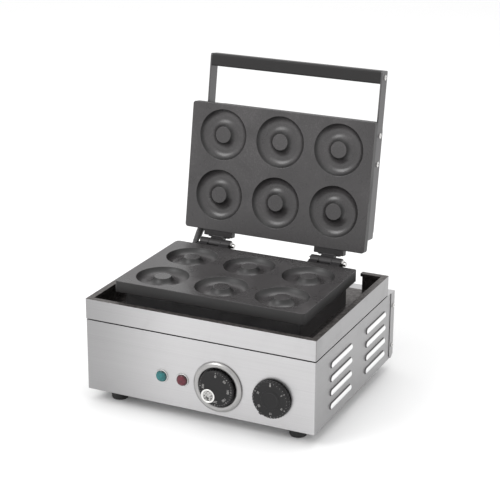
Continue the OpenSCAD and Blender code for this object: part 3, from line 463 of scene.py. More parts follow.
def brushed_stainless(name, colour, roughness, pitch, soil=0.25, painted_shading=None, ribs_from=None):
    """Sheet with fine lines along its length, faint smudges and painted shade in its creases.

    Painted shade greys the sides against the front, and greys the front towards its left end.
    A mask function, when given, marks where painted shade and a painted reflection of the
    dark plates turn the sheet mottled dark. ribs_from is half the width of the box from which
    the louvres stand out: a painted highlight whitens their tops, painted shade darkens their sides.
    """
    shade = Shade(name)
    normal, edge = shade.soft_edges(0.7 * MM)
    fine = 1.0 / pitch
    lines_up = shade.noise(1.0, 2.0, 0.5, stretch=(2.2, 2.2, fine))
    lines_flat = shade.noise(1.0, 2.0, 0.5, stretch=(2.2, fine, 2.2))
    level = shade.facing("Z").between(0.55, 0.75)
    lines = lines_up * (1.0 - level) + lines_flat * level
    smudge = shade.noise(14.0, 4.0, 0.6, distortion=0.4).between(0.45, 0.75)
    tone = (lines * 0.7 + 0.15 - smudge * soil * 0.2 + edge * 0.25).clipped()
    base = shade.shades(tone, colour, (0.3, 0.93), (0.5, 1.0), (0.8, 1.08))
    # Painted shade: the sides are greyed, and the front greys towards its left end.
    side = shade.facing("X").between(0.5, 0.8)
    left = (1.0 - shade.axis("X").between(-0.21, -0.02)) * (1.0 - side)
    base = shade.mixed((side * SIDE_SHADE + left * LEFT_SHADE).clipped(), base, BLACK)
    # Painted shade: darker in creases and grooves that see little open air.
    crease = shade.creases(5.0 * MM).between(0.16, 0.6)
    base = shade.mixed(crease * 0.85, base, CREASE_SHADE)
    # Painted shade on the louvres' sloping sides, and a near-white painted highlight on their tops.
    if ribs_from is not None:
        proud = abs(shade.axis("X")) - ribs_from
        shaded_flank = proud.between(0.05 * MM, 0.3 * MM)
        highlit_crest = proud.between(1.7 * MM, 2.6 * MM)
        base = shade.mixed(shaded_flank * 0.9, base, FLANK_SHADE)
        base = shade.mixed(highlit_crest, base, CREST_HIGHLIGHT)
    gloss = (lines * 0.10 + smudge * soil * 0.3 + (roughness - 0.05)).clipped()
    # Painted shade and a painted reflection of the dark plates: where the mask falls, the sheet turns
    # mottled dark.
    if painted_shading is not None:
        painted_dark = painted_shading(shade)
        mottle = shade.noise(170.0, 5.0, 0.65, distortion=0.5)
        painted_reflection = shade.ramp(mottle, [(0.3, (0.055, 0.050, 0.048)), (0.5, (0.115, 0.106, 0.102)),
                                   (0.72, (0.22, 0.205, 0.20))])
        base = shade.mixed(painted_dark, base, painted_reflection)
        gloss = (gloss + painted_dark * 0.08).clipped()
    bump = shade.bumped(lines, 0.000006, normal)
    return shade.finish(base, gloss, bump, {"Metallic": 1.0})


def coated_cast(name, colour, roughness, face):
    """Cast plate under a dark non-stick coat: fine grain, oily patches, edges rubbed lighter.

    face is the direction of the plate's face. Painted shade darkens what turns away from it, and a
    painted highlight lightens the floor of each groove a little.
    """
    shade = Shade(name)
    normal, edge = shade.soft_edges(1.4 * MM)
    grain = shade.noise(1500.0, 3.0, 0.65)
    pits = shade.speckle(420.0)
    patches = shade.noise(11.0, 5.0, 0.6, distortion=0.8).between(0.4, 0.72)
    rub = (edge * shade.noise(130.0, 4.0, 0.7).between(0.3, 0.65)).clipped()
    tone = (grain * 0.5 + pits * 0.25 + patches * 0.18 + rub * 0.55).clipped()
    base = shade.shades(tone, colour, (0.2, 0.66), (0.5, 1.0), (1.0, 3.4))
    # Painted shade darkens what turns away from the plate's face; a painted highlight lightens each
    # groove's floor.
    crease = shade.creases(14.0 * MM)
    shaded_slope = shade.tilt_from(face).between(0.09, 0.34)
    painted_shading = crease.between(0.12, 0.3) * (1.0 - shaded_slope)
    base = shade.mixed(painted_shading * 0.75, base, tint(colour, 1.9))
    base = shade.mixed(shaded_slope * 0.86, base, SLOPE_SHADE)
    gloss = (patches * 0.12 + grain * 0.1 + shaded_slope * 0.18 + (roughness - 0.06)
             - rub * 0.08).clipped()
    height = grain * 0.6 + pits * 0.5
    bump = shade.bumped(height, 0.00005, normal)
    return shade.finish(base, gloss, bump, {"Metallic": 0.0, "IOR": 1.62})


def dull_steel(name, colour, roughness, grain_scale=900.0):
    """Plain steel greyed by heat: cloudy tone, short scratches and bright edges."""
    shade = Shade(name)
    normal, edge = shade.soft_edges(0.6 * MM)
    cloud = shade.noise(22.0, 5.0, 0.6, distortion=0.5)
    grain = shade.noise(grain_scale, 2.0, 0.6)
    scratch = shade.noise(1.0, 2.0, 0.5, stretch=(40.0, 420.0, 420.0)).between(0.6, 0.78)
    tone = (cloud * 0.5 + grain * 0.2 + scratch * 0.12 + edge * 0.35 + 0.05).clipped()
    base = shade.shades(tone, colour, (0.2, 0.7), (0.5, 1.0), (0.95, 1.7))
    gloss = (cloud * 0.2 + grain * 0.08 + (roughness - 0.12)).clipped()
    bump = shade.bumped(grain * 0.5 + scratch * 0.5, 0.00002, normal)
    return shade.finish(base, gloss, bump, {"Metallic": 0.9})


def plated_bright(name, colour, roughness=0.16):
    """Bright plated small parts: polished, with faint turning marks and handling haze."""
    shade = Shade(name)
    normal, edge = shade.soft_edges(0.25 * MM)
    haze = shade.noise(160.0, 4.0, 0.6)
    fine = shade.noise(2600.0, 2.0, 0.5)
    tone = (haze * 0.6 + fine * 0.2 + edge * 0.3).clipped()
    base = shade.shades(tone, colour, (0.2, 0.8), (0.6, 1.0), (1.0, 1.15))
    gloss = (haze * 0.2 + fine * 0.05 + (roughness - 0.1)).clipped()
    bump = shade.bumped(fine, 0.000008, normal)
    return shade.finish(base, gloss, bump, {"Metallic": 1.0})


def hammered_cap(name, colour, middle, dish_radius):
    """Bright cap: a clean rim, and a dish whose hammer marks hold dark soil."""
    shade = Shade(name)
    normal, edge = shade.soft_edges(0.25 * MM)
    away_x = shade.axis("X") - middle[0]
    away_z = shade.axis("Z") - middle[1]
    away = (away_x * away_x + away_z * away_z) ** 0.5
    dish = 1.0 - away.between(dish_radius - 0.3 * MM, dish_radius + 0.3 * MM)
    blotch = shade.noise(330.0, 3.0, 0.6).between(0.42, 0.6)
    soil = (dish * (0.35 + blotch * 0.6)).clipped()
    base = shade.mixed(soil, tint(colour, 1.1), (0.05, 0.048, 0.045, 1))
    ring = away.between(dish_radius - 0.5 * MM, dish_radius) * dish
    base = shade.mixed(ring * 0.8, base, (0.02, 0.02, 0.02, 1))
    gloss = (soil * 0.3 + edge * 0.05 + 0.22).clipped()
    return shade.finish(base, gloss, normal, {"Metallic": 0.9})


def moulded_plastic(name, colour, roughness, grain_depth=0.00003, edge_radius=0.5):
    """Moulded plastic: a fine spark-eroded grain, dust in the grain, and edges rubbed shinier."""
    shade = Shade(name)
    normal, edge = shade.soft_edges(edge_radius * MM)
    grain = shade.speckle(900.0, 0.8)
    dust = shade.noise(45.0, 5.0, 0.65).between(0.5, 0.8)
    tone = (grain * 0.3 + dust * 0.22 + edge * 0.45 + 0.2).clipped()
    base = shade.shades(tone, colour, (0.1, 0.75), (0.45, 1.0), (1.0, 2.6))
    gloss = (grain * 0.12 + dust * 0.14 + roughness - edge * 0.08).clipped()
    bump = shade.bumped(grain, grain_depth, normal)
    return shade.finish(base, gloss, bump, {"Metallic": 0.0, "Specular IOR Level": 0.32})


def foot_rubber(name, colour):
    """Rubber: dull, with a fine bloom and dirt towards the ground."""
    shade = Shade(name)
    normal, edge = shade.soft_edges(0.8 * MM)
    bloom = shade.noise(90.0, 5.0, 0.6)
    grain = shade.noise(1400.0, 2.0, 0.6)
    low = 1.0 - shade.axis("Z").between(0.0, 0.012)
    tone = (bloom * 0.5 + grain * 0.15 + edge * 0.2 + low * 0.15).clipped()
    base = shade.shades(tone, colour, (0.2, 0.7), (0.5, 1.0), (0.9, 2.2))
    gloss = (bloom * 0.2 + 0.62).clipped()
    bump = shade.bumped(grain, 0.00006, normal)
    return shade.finish(base, gloss, bump, {"Metallic": 0.0})


def raw_casting(name, colour):
    """Sand casting: pebbled skin, darker hollows and rubbed bosses."""
    shade = Shade(name)
    normal, edge = shade.soft_edges(1.2 * MM)
    pebble = shade.speckle(520.0)
    cloud = shade.noise(60.0, 5.0, 0.6)
    tone = (pebble * 0.35 + cloud * 0.4 + edge * 0.5).clipped()
    base = shade.shades(tone, colour, (0.15, 0.6), (0.5, 1.0), (1.0, 3.0))
    gloss = (cloud * 0.2 + 0.36 - edge * 0.1).clipped()
    bump = shade.bumped(pebble * 0.7 + cloud * 0.3, 0.00018, normal)
    return shade.finish(base, gloss, bump, {"Metallic": 0.35})


def lamp_plastic(name, colour, glow):
    """Clear coloured lens: deep in its middle, with painted shade darkening its rim, and a gloss
    coat.
    """
    shade = Shade(name)
    ripple = shade.noise(420.0, 2.0, 0.5)
    depth = shade.noise(150.0, 3.0, 0.5)
    tone = (ripple * 0.4 + depth * 0.6).clipped()
    base = shade.shades(tone, colour, (0.3, 0.6), (0.5, 1.0), (0.75, 1.8))
    # Painted shade: the lens darkens towards its rim, where it turns away from the front.
    rim = 1.0 - shade.facing("Y").between(0.62, 0.93)
    base = shade.mixed(rim * 0.8, base, (0.004, 0.005, 0.005, 1))
    gloss = (ripple * 0.06 + 0.1).clipped()
    bump = shade.bumped(ripple, 0.00002)
    constants = {"Coat Weight": 0.25, "Coat Roughness": 0.05, "Emission Strength": glow,
                 "Specular IOR Level": 0.4}
    return shade.finish(base, gloss, bump, constants, glow=base)


def printed_paint(name, colour):
    """Printed marks: off-white ink, slightly uneven."""
    shade = Shade(name)
    wear = shade.noise(700.0, 4.0, 0.6)
    base = shade.shades(wear, colour, (0.3, 0.82), (0.6, 1.0))
    gloss = (wear * 0.2 + 0.4).clipped()
    return shade.finish(base, gloss, None, {"Metallic": 0.0})


def fired_ceramic(name, colour):
    """Unglazed ceramic: warm white with small specks."""
    shade = Shade(name)
    normal, edge = shade.soft_edges(0.4 * MM)
    specks = shade.speckle(300.0)
    cloud = shade.noise(50.0, 4.0, 0.6)
    tone = (specks * 0.4 + cloud * 0.5 + edge * 0.1).clipped()
    base = shade.shades(tone, colour, (0.1, 0.72), (0.5, 1.0), (0.9, 1.1))
    bump = shade.bumped(specks, 0.00004, normal)
    return shade.finish(base, (cloud * 0.2 + 0.5).clipped(), bump, {"Metallic": 0.0})


def felted_fibre(name, colour):
    """Felted mineral fibre: matted strands and soft lumps."""
    shade = Shade(name)
    strands = shade.noise(1.0, 6.0, 0.7, stretch=(260.0, 900.0, 500.0), distortion=1.5)
    lumps = shade.noise(45.0, 4.0, 0.6)
    tone = (strands * 0.6 + lumps * 0.4).clipped()
    base = shade.shades(tone, colour, (0.25, 0.68), (0.5, 1.0), (0.8, 1.1))
    bump = shade.bumped(strands * 0.6 + lumps * 0.4, 0.0006)
    return shade.finish(base, (lumps * 0.1 + 0.85).clipped(), bump, {"Metallic": 0.0})


def drawn_copper(name, colour):
    """Drawn tube: metal with lengthwise marks and a brown tarnish."""
    shade = Shade(name)
    marks = shade.noise(1.0, 3.0, 0.6, stretch=(60.0, 60.0, 60.0))
    tarnish = shade.noise(80.0, 5.0, 0.6).between(0.35, 0.7)
    base = shade.mixed(tarnish, tint(colour, 1.0), tint(colour, 0.45))
    gloss = (tarnish * 0.25 + marks * 0.1 + 0.22).clipped()
    return shade.finish(base, gloss, None, {"Metallic": 1.0})


def paint_nodes(material, *nodes):
    """Gives CAD nodes a material in every slot."""
    for node in nodes:
        mesh = frame["nodes"][node].data
        if not mesh.materials:
            mesh.materials.append(material)
        for k in range(len(mesh.materials)):
            mesh.materials[k] = material


def dress(piece, material, body, replaced=()):
    """Gives a new piece its material, its body and the nodes that it stands for."""
    piece.data.materials.append(material)
    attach(piece, body)
    if replaced:
        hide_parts(*replaced)
    return piece


# ---- Settings -------------------------------------------------------------------------------


def colour_setting(name, description, default):
    """A colour in the panel."""
    return FloatVectorProperty(name=name, description=description, subtype="COLOR", size=3,
                               min=0, max=1, default=default)


def length_setting(name, description, low, high, default):
    """A length in the panel, in metres."""
    return FloatProperty(name=name, description=description, subtype="DISTANCE",
                         unit="LENGTH", min=low, max=high, default=default)


def share_setting(name, description, default):
    """A share from 0 to 1 in the panel."""
    return FloatProperty(name=name, description=description, subtype="FACTOR",
                         min=0, max=1, default=default)


class SheetMetalSettings(bpy.types.PropertyGroup):
    """Sizes and colours of the case and the tray."""

    steel_colour: colour_setting(
        "Steel", "Colour of the brushed stainless sheet", (0.54, 0.535, 0.54))
    steel_roughness: share_setting("Steel roughness", "Roughness across the brush lines", 0.34)
    brush_pitch: length_setting(
        "Brush pitch", "Width of the finest brush lines", 0.0002, 0.004, 0.0006)
    rubber_colour: colour_setting("Rubber", "Colour of the feet", (0.022, 0.022, 0.022))


class MouldSettings(bpy.types.PropertyGroup):
    """Colours of the mould plates and what holds them."""

    coat_colour: colour_setting("Coat", "Colour of the non-stick coat", (0.040, 0.037, 0.038))
    coat_roughness: share_setting("Coat roughness", "Roughness of the non-stick coat", 0.27)
    box_colour: colour_setting("Heater box", "Colour of the heat-greyed steel", (0.20, 0.195, 0.20))
    casting_colour: colour_setting("Castings", "Colour of the hinges", (0.035, 0.033, 0.034))


class LidSettings(bpy.types.PropertyGroup):
    """Sizes and colours of the cover and the handle."""

    cover_edge_radius: length_setting(
        "Cover edge", "Radius of the cover's pressed rear edge", 0.002, 0.015, 0.007)
    cover_crown: length_setting(
        "Cover crown", "How far the pressed panel stands in the cover's back", 0, 0.004, 0.0012)
    cover_colour: colour_setting("Cover", "Colour of the cover and the arms", (0.125, 0.122, 0.124))
    grip_colour: colour_setting("Grip", "Colour of the handle's grip", (0.019, 0.018, 0.018))
    ridge_pitch: length_setting(
        "Conduit ridges", "Distance between the ridges of the lid's conduit", 0.001, 0.006, 0.0026)
    ridge_depth: length_setting(
        "Ridge depth", "Depth of the grooves between the conduit's ridges", 0, 0.002, 0.0009)


class ControlSettings(bpy.types.PropertyGroup):
    """Sizes and colours of the dials, the bezel and the lamps."""

    flutes: IntProperty(
        name="Flutes", description="Number of flutes round the rim of a dial",
        min=12, max=72, default=40)
    flute_depth: length_setting("Flute depth", "Depth of the flutes", 0, 0.002, 0.0009)
    dial_colour: colour_setting("Dials", "Colour of the dials", (0.010, 0.0095, 0.010))
    mark_colour: colour_setting(
        "Marks", "Colour of the printed figures and ticks", (0.42, 0.41, 0.40))
    bezel_colour: colour_setting("Bezel", "Colour of the thermostat's bezel", (0.43, 0.425, 0.42))
    green_colour: colour_setting("Green lamp", "Colour of the left lamp", (0.008, 0.115, 0.12))
    red_colour: colour_setting("Red lamp", "Colour of the right lamp", (0.085, 0.006, 0.015))


class StudioSettings(bpy.types.PropertyGroup):
    """The floor, the light and the camera."""

    floor_colour: colour_setting("Floor", "Colour of the floor", (0.93, 0.93, 0.93))
    sky_strength: FloatProperty(
        name="Sky", description="Strength of the even light all round",
        min=0, max=4, default=1.0)
    key_power: FloatProperty(
        name="Key light", description="Power of the large light in front",
        subtype="POWER", unit="POWER", min=0, max=500, default=38.0)
    focal_length: FloatProperty(
        name="Focal length", description="Focal length on a sensor 36 mm wide",
        subtype="DISTANCE_CAMERA", min=20, max=300, default=111.70)


SETTINGS = {
    "donut_sheet": SheetMetalSettings,
    "donut_mould": MouldSettings,
    "donut_lid": LidSettings,
    "donut_control": ControlSettings,
    "donut_studio": StudioSettings,
}


# ---- Operators ------------------------------------------------------------------------------


class DONUT_OT_case(bpy.types.Operator):
    """Finish the case, its panels, the tray, the feet and their screws"""

    bl_idname = "donut.case"
    bl_label = "Case and tray"

    def execute(self, context):
        look = context.scene.donut_sheet
        colour, rough, pitch = look.steel_colour, look.steel_roughness, look.brush_pitch
        sheet = brushed_stainless("stainless_case", colour, rough, pitch)
        low, high = corners("drip_tray")
        middle, half = (low + high) / 2, (high - low) / 2 - 0.4 * MM

        # Mask of the tray's inside and its flat faces, for painted shade and a painted reflection of
        # the dark plates.
        def inside_and_rim(shade):
            walls = (shade.inward("X", middle[0], half[0]) * shade.inward("Y", middle[1], half[1]))
            flat = shade.facing("Z").between(0.55, 0.75)
            return (walls + flat).clipped()

        tray = brushed_stainless("stainless_tray", colour, rough, pitch, 0.5,
                                 inside_and_rim)
        paint_nodes(sheet, "rear_panel", "bottom_plate")
        shell = brushed_stainless("stainless_shell", colour, rough, pitch,
                                  ribs_from=high[0])
        paint_nodes(shell, "case_shell")
        paint_nodes(tray, "drip_tray")
        paint_nodes(foot_rubber("foot_rubber", look.rubber_colour), "feet")
        bright = plated_bright("plated_screws", (0.70, 0.69, 0.68))
        paint_nodes(bright, "foot_screws", "panel_screws", "earth_stud", "tray_spacers",
                    "lower_studs", "control_screws", "thermostat_spindle", "timer_spindle")
        gland = moulded_plastic("gland_nylon", (0.03, 0.03, 0.03), 0.45)
        paint_nodes(gland, "cable_gland")
        return {"FINISHED"}


class DONUT_OT_moulds(bpy.types.Operator):
    """Finish the mould plates and the heater box under the lower one"""

    bl_idname = "donut.moulds"
    bl_label = "Mould plates"

    def execute(self, context):
        look = context.scene.donut_mould
        up = np.array([0.0, 0.0, 1.0])
        opened = lid_as_opened([HINGE_AT + up])[0] - HINGE_AT
        for node, face in (("lower_mould_plate", up), ("upper_mould_plate", opened)):
            coat = coated_cast(f"{node}_coat", look.coat_colour, look.coat_roughness, face)
            paint_nodes(coat, node)
        box = dull_steel("heated_steel", look.box_colour, 0.42)
        paint_nodes(box, "lower_heater_box", "lower_clamp_plate", "upper_clamp_plate",
                    "lower_heating_element", "upper_heating_element")
        return {"FINISHED"}


class DONUT_OT_hinges(bpy.types.Operator):
    """Finish the cast hinges, their pins and their bolts"""

    bl_idname = "donut.hinges"
    bl_label = "Hinges"

    def execute(self, context):
        look = context.scene.donut_mould
        casting = raw_casting("hinge_casting", look.casting_colour)
        paint_nodes(casting, "hinge_bracket_left", "hinge_bracket_right",
                    "hinge_leaf_left", "hinge_leaf_right")
        pins = plated_bright("hinge_pin_steel", (0.62, 0.61, 0.60), 0.22)
        paint_nodes(pins, "hinge_pin_left", "hinge_pin_right", "conduit_gland")
        bolts = dull_steel("black_bolts", (0.10, 0.10, 0.10), 0.4)
        paint_nodes(bolts, "hinge_bracket_bolts", "hinge_leaf_bolts")
        return {"FINISHED"}


class DONUT_OT_cover(bpy.types.Operator):
    """Press the lid's cover and finish the handle"""

    bl_idname = "donut.cover"
    bl_label = "Cover and handle"

    def execute(self, context):
        look = context.scene.donut_lid
        low, high = corners_when_closed("upper_cover")
        width, length = high[0] - low[0], high[1] - low[1]
        height, rim = high[2] - low[2], 2.2 * MM
        crown, edge = look.cover_crown, look.cover_edge_radius
        outline = [(0, 0), (0, height), (rim * 9, height), (rim * 9 + 3 * MM, height - crown),
                   (rim * 12, height - crown)]
        profile = rounded_profile(outline, [edge, 1.5 * MM, 1.5 * MM], 8)
        points = pressed_pan(width, length, 16 * MM, profile)
        points = points + np.array([0, (low[1] + high[1]) / 2, low[2]])
        points[..., 0] += (low[0] + high[0]) / 2
        piece = skin_piece("lid_cover_pressing", lid_as_opened(points))
        steel = dull_steel("cover_steel", look.cover_colour, 0.36)
        dress(piece, steel, "lid", ["upper_cover"])
        arms = dull_steel("arm_steel", tint(look.cover_colour, 0.95), 0.34)
        paint_nodes(arms, "handle_arm_left", "handle_arm_right")
        grip = moulded_plastic("grip_plastic", look.grip_colour, 0.42, 0.00005, 1.0)
        paint_nodes(grip, "handle_grip")
        bright = plated_bright("lid_screws", (0.78, 0.77, 0.76))
        paint_nodes(bright, "arm_screws", "grip_screws", "upper_studs")
        return {"FINISHED"}


class DONUT_OT_conduit(bpy.types.Operator):
    """Run the ridged conduit from the tray to the lid's cover"""

    bl_idname = "donut.conduit"
    bl_label = "Lid conduit"

    rise = math.radians(53)
    bend = 14 * MM
    blend_reach = 14 * MM
    ring_step = 0.32 * MM

    def execute(self, context):
        look = context.scene.donut_lid
        low, high = corners("conduit_lower")
        x, y = (low[0] + high[0]) / 2, (low[1] + high[1]) / 2
        radius = (high[0] - low[0]) / 2
        far_low, far_high = corners_when_closed("conduit_upper")
        run_z = far_high[2] - radius - 0.6 * MM
        rise, bend = self.rise, self.bend
        climb = (run_z - HINGE_AT[2] - bend * (1 - math.cos(rise))) / math.sin(rise)
        along = np.array([0.0, -math.cos(rise), math.sin(rise)])
        top = np.array([x, HINGE_AT[1], HINGE_AT[2]])
        a = np.linspace(0, rise, 5)[1:]
        elbow = top + along * climb
        centre = elbow + bend * np.array([0, -math.sin(rise), -math.cos(rise)])
        arc = centre + bend * np.stack([0 * a, np.sin(rise - a), np.cos(rise - a)], axis=-1)
        last = np.array([[x, far_low[1], run_z]])
        lid_part = np.concatenate([[top + along * climb * k for k in (0.55, 0.8, 1.0)], arc,
                                   (arc[-1:] + last) / 2, last])
        riser = [[x, y, low[2]], [x, y, low[2] + 20 * MM], [x, y, HINGE_AT[2] - 22 * MM],
                 [x, y, HINGE_AT[2] - 12 * MM]]
        line, even = smooth_line(np.concatenate([riser, lid_as_opened(lid_part)]),
                                 self.ring_step)
        groove = look.ridge_depth * (0.5 + 0.5 * np.cos(2 * math.pi * even / look.ridge_pitch))
        points = swept_tube(line, radius - groove, 24)
        piece = skin_piece("lid_conduit", points)
        steel = dull_steel("conduit_steel", (0.13, 0.128, 0.13), 0.36)
        piece.data.materials.append(steel)
        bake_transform(piece)
        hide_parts("conduit_lower", "conduit_upper")
        return {"FINISHED"}


def dial_skin(radius, height, look):
    """Points of a dial: fluted side, bevelled edge, a shallow dish in the face.

    The side's radius is R - depth sin^2(k a / 2) with k flutes, fading out at the bevel.
    """
    flat = [(radius - 1.2 * MM, 0), (radius, 0.8 * MM), (radius, height - 2.2 * MM),
            (radius - 2.2 * MM, height), (radius - 5.5 * MM, height),
            (radius - 6.3 * MM, height - 0.5 * MM), (0.3 * MM, height - 0.5 * MM)]
    profile = rounded_profile(flat, [0.5 * MM, 0.6 * MM, 1.2 * MM, 0.5 * MM, 0.4 * MM], 6)
    reach = np.clip((profile[:, 0] - (radius - 3.5 * MM)) / (3.5 * MM), 0, 1) ** 2
    profile = np.column_stack([profile, reach])

    def ripple(angle):
        return look.flute_depth * np.sin(look.flutes * angle / 2) ** 2

    return turned_surface(profile, look.flutes * 10, ripple)


class DONUT_OT_dials(bpy.types.Operator):
    """Turn the thermostat's dial and the timer's dial, with their marks"""

    bl_idname = "donut.dials"
    bl_label = "Dials"

    def execute(self, context):
        look = context.scene.donut_control
        black = moulded_plastic("dial_plastic", look.dial_colour, 0.3, 0.00001, 0.3)
        ink = printed_paint("dial_ink", look.mark_colour)
        self.dial("thermostat_knob", "thermostat_dial", range(50, 301, 50), 300, 5.4 * MM, black, ink)
        self.dial("timer_knob", "timer_dial", range(5, 26, 5), 330, 4.6 * MM, black, ink)
        self.badge()
        return {"FINISHED"}

    def dial(self, node, body, numbers, turn_degrees, size, black, ink):
        """A dial and its marks. The thermostat has a 0 on top, the timer a pointer and a hub."""
        look = bpy.context.scene.donut_control
        timer = body == "timer_dial"
        low, high = corners(node)
        x, _, z = frame_joint(body)
        radius = (high[2] - z) if timer else (high[0] - x)
        height = high[1] - low[1]
        face = skin_piece(f"{body}_face", on_front(dial_skin(radius, height, look), x, z, high[1]))
        dress(face, black, body, [node])
        top, turn, gaps = math.pi / 2, math.radians(turn_degrees), len(numbers) + 0.6
        mark_r = radius - 9.6 * MM
        figures = [] if timer else [("0", top, mark_r, size * 1.15)]
        figures += [(str(number), top - turn * (k + 1) / gaps, mark_r, size)
                    for k, number in enumerate(numbers)]
        ticks = []
        for k in range(len(numbers) * 5 + 3):
            long = k % 5 == 0
            inner = radius - (5.2 if long else 4.2) * MM
            width = (0.8 if long else 0.4) * MM
            ticks.append((top - turn * k / (gaps * 5), inner, radius - 2.9 * MM, width))
        if timer:
            ticks.append((top, radius - 9.0 * MM, radius - 2.6 * MM, 1.6 * MM))
        points, faces = ring_of_marks(figures, ticks, height - 0.02 * MM, 0.22 * MM)
        marks = mesh_piece(f"{body}_marks", on_front(points, x, z, high[1]), faces, smooth=False)
        dress(marks, ink, body)
        if timer:
            self.hub(x, z, high[1], height, black)

    def badge(self):
        """The bright cap let into the thermostat's dial: a raised rim round a plain hammered dish.

        The dish's height is h0 + d cos(k x) cos(k y), in the cap's own x and y.
        """
        low, high = corners("thermostat_cap")
        x, z = (low[0] + high[0]) / 2, (low[2] + high[2]) / 2
        radius, height = (high[0] - low[0]) / 2, high[1] - low[1]
        rim = rounded_profile([(radius, 0), (radius, height), (radius - 2.6 * MM, height),
                               (radius - 3.2 * MM, height - 0.8 * MM)], [0.6 * MM, 0.7 * MM], 6)
        dish_r = np.linspace(radius - 3.3 * MM, 0.2 * MM, 22)
        dish = np.column_stack([dish_r, np.full(22, height - 0.8 * MM)])
        points = turned_surface(np.concatenate([rim, dish]), 72)
        across = np.hypot(points[..., 0], points[..., 1])
        wave = np.cos(points[..., 0] * 1700.0) * np.cos(points[..., 1] * 1500.0)
        inner = np.clip((radius - 3.4 * MM - across) / (1.0 * MM), 0, 1)
        points[..., 2] += 0.32 * MM * wave * inner
        badge = skin_piece("thermostat_badge", on_front(points, x, z, high[1]))
        metal = hammered_cap("cap_metal", (0.72, 0.715, 0.70), (x, z), radius - 3.2 * MM)
        dress(badge, metal, "thermostat_dial", ["thermostat_cap"])

    def hub(self, x, z, back, height, material):
        """The low ring in the middle of the timer's dial and the thumb tab on its rim."""
        flat = [(16.5 * MM, height - 1.2 * MM), (16.5 * MM, height + 0.1 * MM),
                (12.5 * MM, height + 0.1 * MM), (11.8 * MM, height - 0.4 * MM),
                (0.3 * MM, height - 0.4 * MM)]
        profile = rounded_profile(flat, [0.6 * MM, 0.5 * MM, 0.4 * MM], 5)
        points = turned_surface(profile, 72)
        hub = skin_piece("timer_hub", on_front(points, x, z, back))
        dress(hub, material, "timer_dial")
        radius = corners("timer_knob")[1][2] - z
        angle = math.radians(236)
        outline = round_rectangle(5.0 * MM, 6.0 * MM, 1.2 * MM, 6)
        rows = []
        for inset, level in ((0.5, 1.0), (0, 1.5), (0, 4.6), (0.5, 5.2), (1.6, 5.4)):
            spread = 1 - 2 * inset * MM / np.array([5.0 * MM, 6.0 * MM])
            rows.append(np.column_stack([outline * spread, np.full(len(outline), level * MM)]))
        tab = np.stack(rows)
        tab[..., 0] += radius + 0.4 * MM
        c, s = math.cos(angle), math.sin(angle)
        turned = tab @ np.array([[c, s, 0], [-s, c, 0], [0, 0, 1]])
        piece = skin_piece("timer_tab", on_front(turned, x, z, back))
        dress(piece, material, "timer_dial")


def frame_joint(body):
    """Where the joint that carries a body stands."""
    return next(j for j in frame["joints"] if j["child"] == body)["pos_m"]


class DONUT_OT_bezel(bpy.types.Operator):
    """Turn the bright bezel round the thermostat's dial"""

    bl_idname = "donut.bezel"
    bl_label = "Bezel"

    def execute(self, context):
        look = context.scene.donut_control
        low, high = corners("thermostat_bezel")
        x, _, z = frame_joint("thermostat_dial")
        outer = (high[0] - low[0]) / 2
        inner = (corners("thermostat_knob")[1][0] - x) + 1.2 * MM
        height = high[1] - low[1]
        flat = [(inner, 0), (inner, height * 0.55), (inner + 1.6 * MM, height * 0.82),
                (outer - 4.2 * MM, height), (outer - 0.2 * MM, height * 0.45), (outer, 0)]
        profile = rounded_profile(flat, [0.5 * MM, 1.4 * MM, 2.6 * MM, 1.2 * MM], 8)[::-1]
        profile = np.concatenate([profile, profile[:1]])
        points = turned_surface(profile, 144)
        bezel = skin_piece("thermostat_ring", on_front(points, x, z, high[1]), caps=False)
        shade = plated_bright("bezel_metal", look.bezel_colour, 0.3)
        dress(bezel, shade, "base", ["thermostat_bezel"])
        return {"FINISHED"}


class DONUT_OT_lamps(bpy.types.Operator):
    """Turn the two lamp lenses"""

    bl_idname = "donut.lamps"
    bl_label = "Lamps"

    def execute(self, context):
        look = context.scene.donut_control
        z = frame_joint("thermostat_dial")[2]
        base_y = corners("lamp_rings")[1][1]
        for node, name, colour, slot in (
                ("lamp_green_lens", "green_lens", look.green_colour, "lens_green"),
                ("lamp_red_lens", "red_lens", look.red_colour, "lens_red")):
            low, high = corners(node)
            x = (low[0] + high[0]) / 2
            radius = (high[0] - low[0]) / 2
            height = base_y - low[1]
            a = np.linspace(0, 1, 40)
            dome_r = radius * np.cos(a * math.pi / 2 * 0.97)
            dome_h = 2.0 * MM + (height - 2.0 * MM) * np.sin(a * math.pi / 2)
            rib = 0.10 * MM * np.sin(a * 34.0) * (a < 0.92)
            dome = np.column_stack([np.maximum(dome_r, 0.3 * MM), dome_h - 0.12 * MM + rib])
            profile = np.concatenate([[[radius, 0], [radius, 1.4 * MM]], dome])
            points = turned_surface(profile, 64)
            piece = skin_piece(name, on_front(points, x, z, base_y))
            shade = lamp_plastic(name + "_plastic", colour, 0.1)
            dress(piece, shade, "base", [node])
        rings = plated_bright("lamp_ring_metal", (0.82, 0.82, 0.81), 0.2)
        paint_nodes(rings, "lamp_rings")
        paint_nodes(moulded_plastic("lamp_body_plastic", (0.03, 0.03, 0.03), 0.4), "lamp_bodies")
        return {"FINISHED"}


class DONUT_OT_inside(bpy.types.Operator):
    """Finish what the case and the cover hold"""

    bl_idname = "donut.inside"
    bl_label = "Inner parts"

    def execute(self, context):
        ceramic = fired_ceramic("ceramic_block", (0.80, 0.77, 0.70))
        paint_nodes(ceramic, "thermostat_body", "terminal_block")
        paint_nodes(felted_fibre("fibre_pad", (0.80, 0.78, 0.72)), "lower_insulation",
                    "upper_insulation")
        paint_nodes(dull_steel("timer_case_steel", (0.42, 0.41, 0.40), 0.38), "timer_body")
        paint_nodes(drawn_copper("capillary_copper", (0.72, 0.40, 0.24)), "thermostat_bulb")
        return {"FINISHED"}


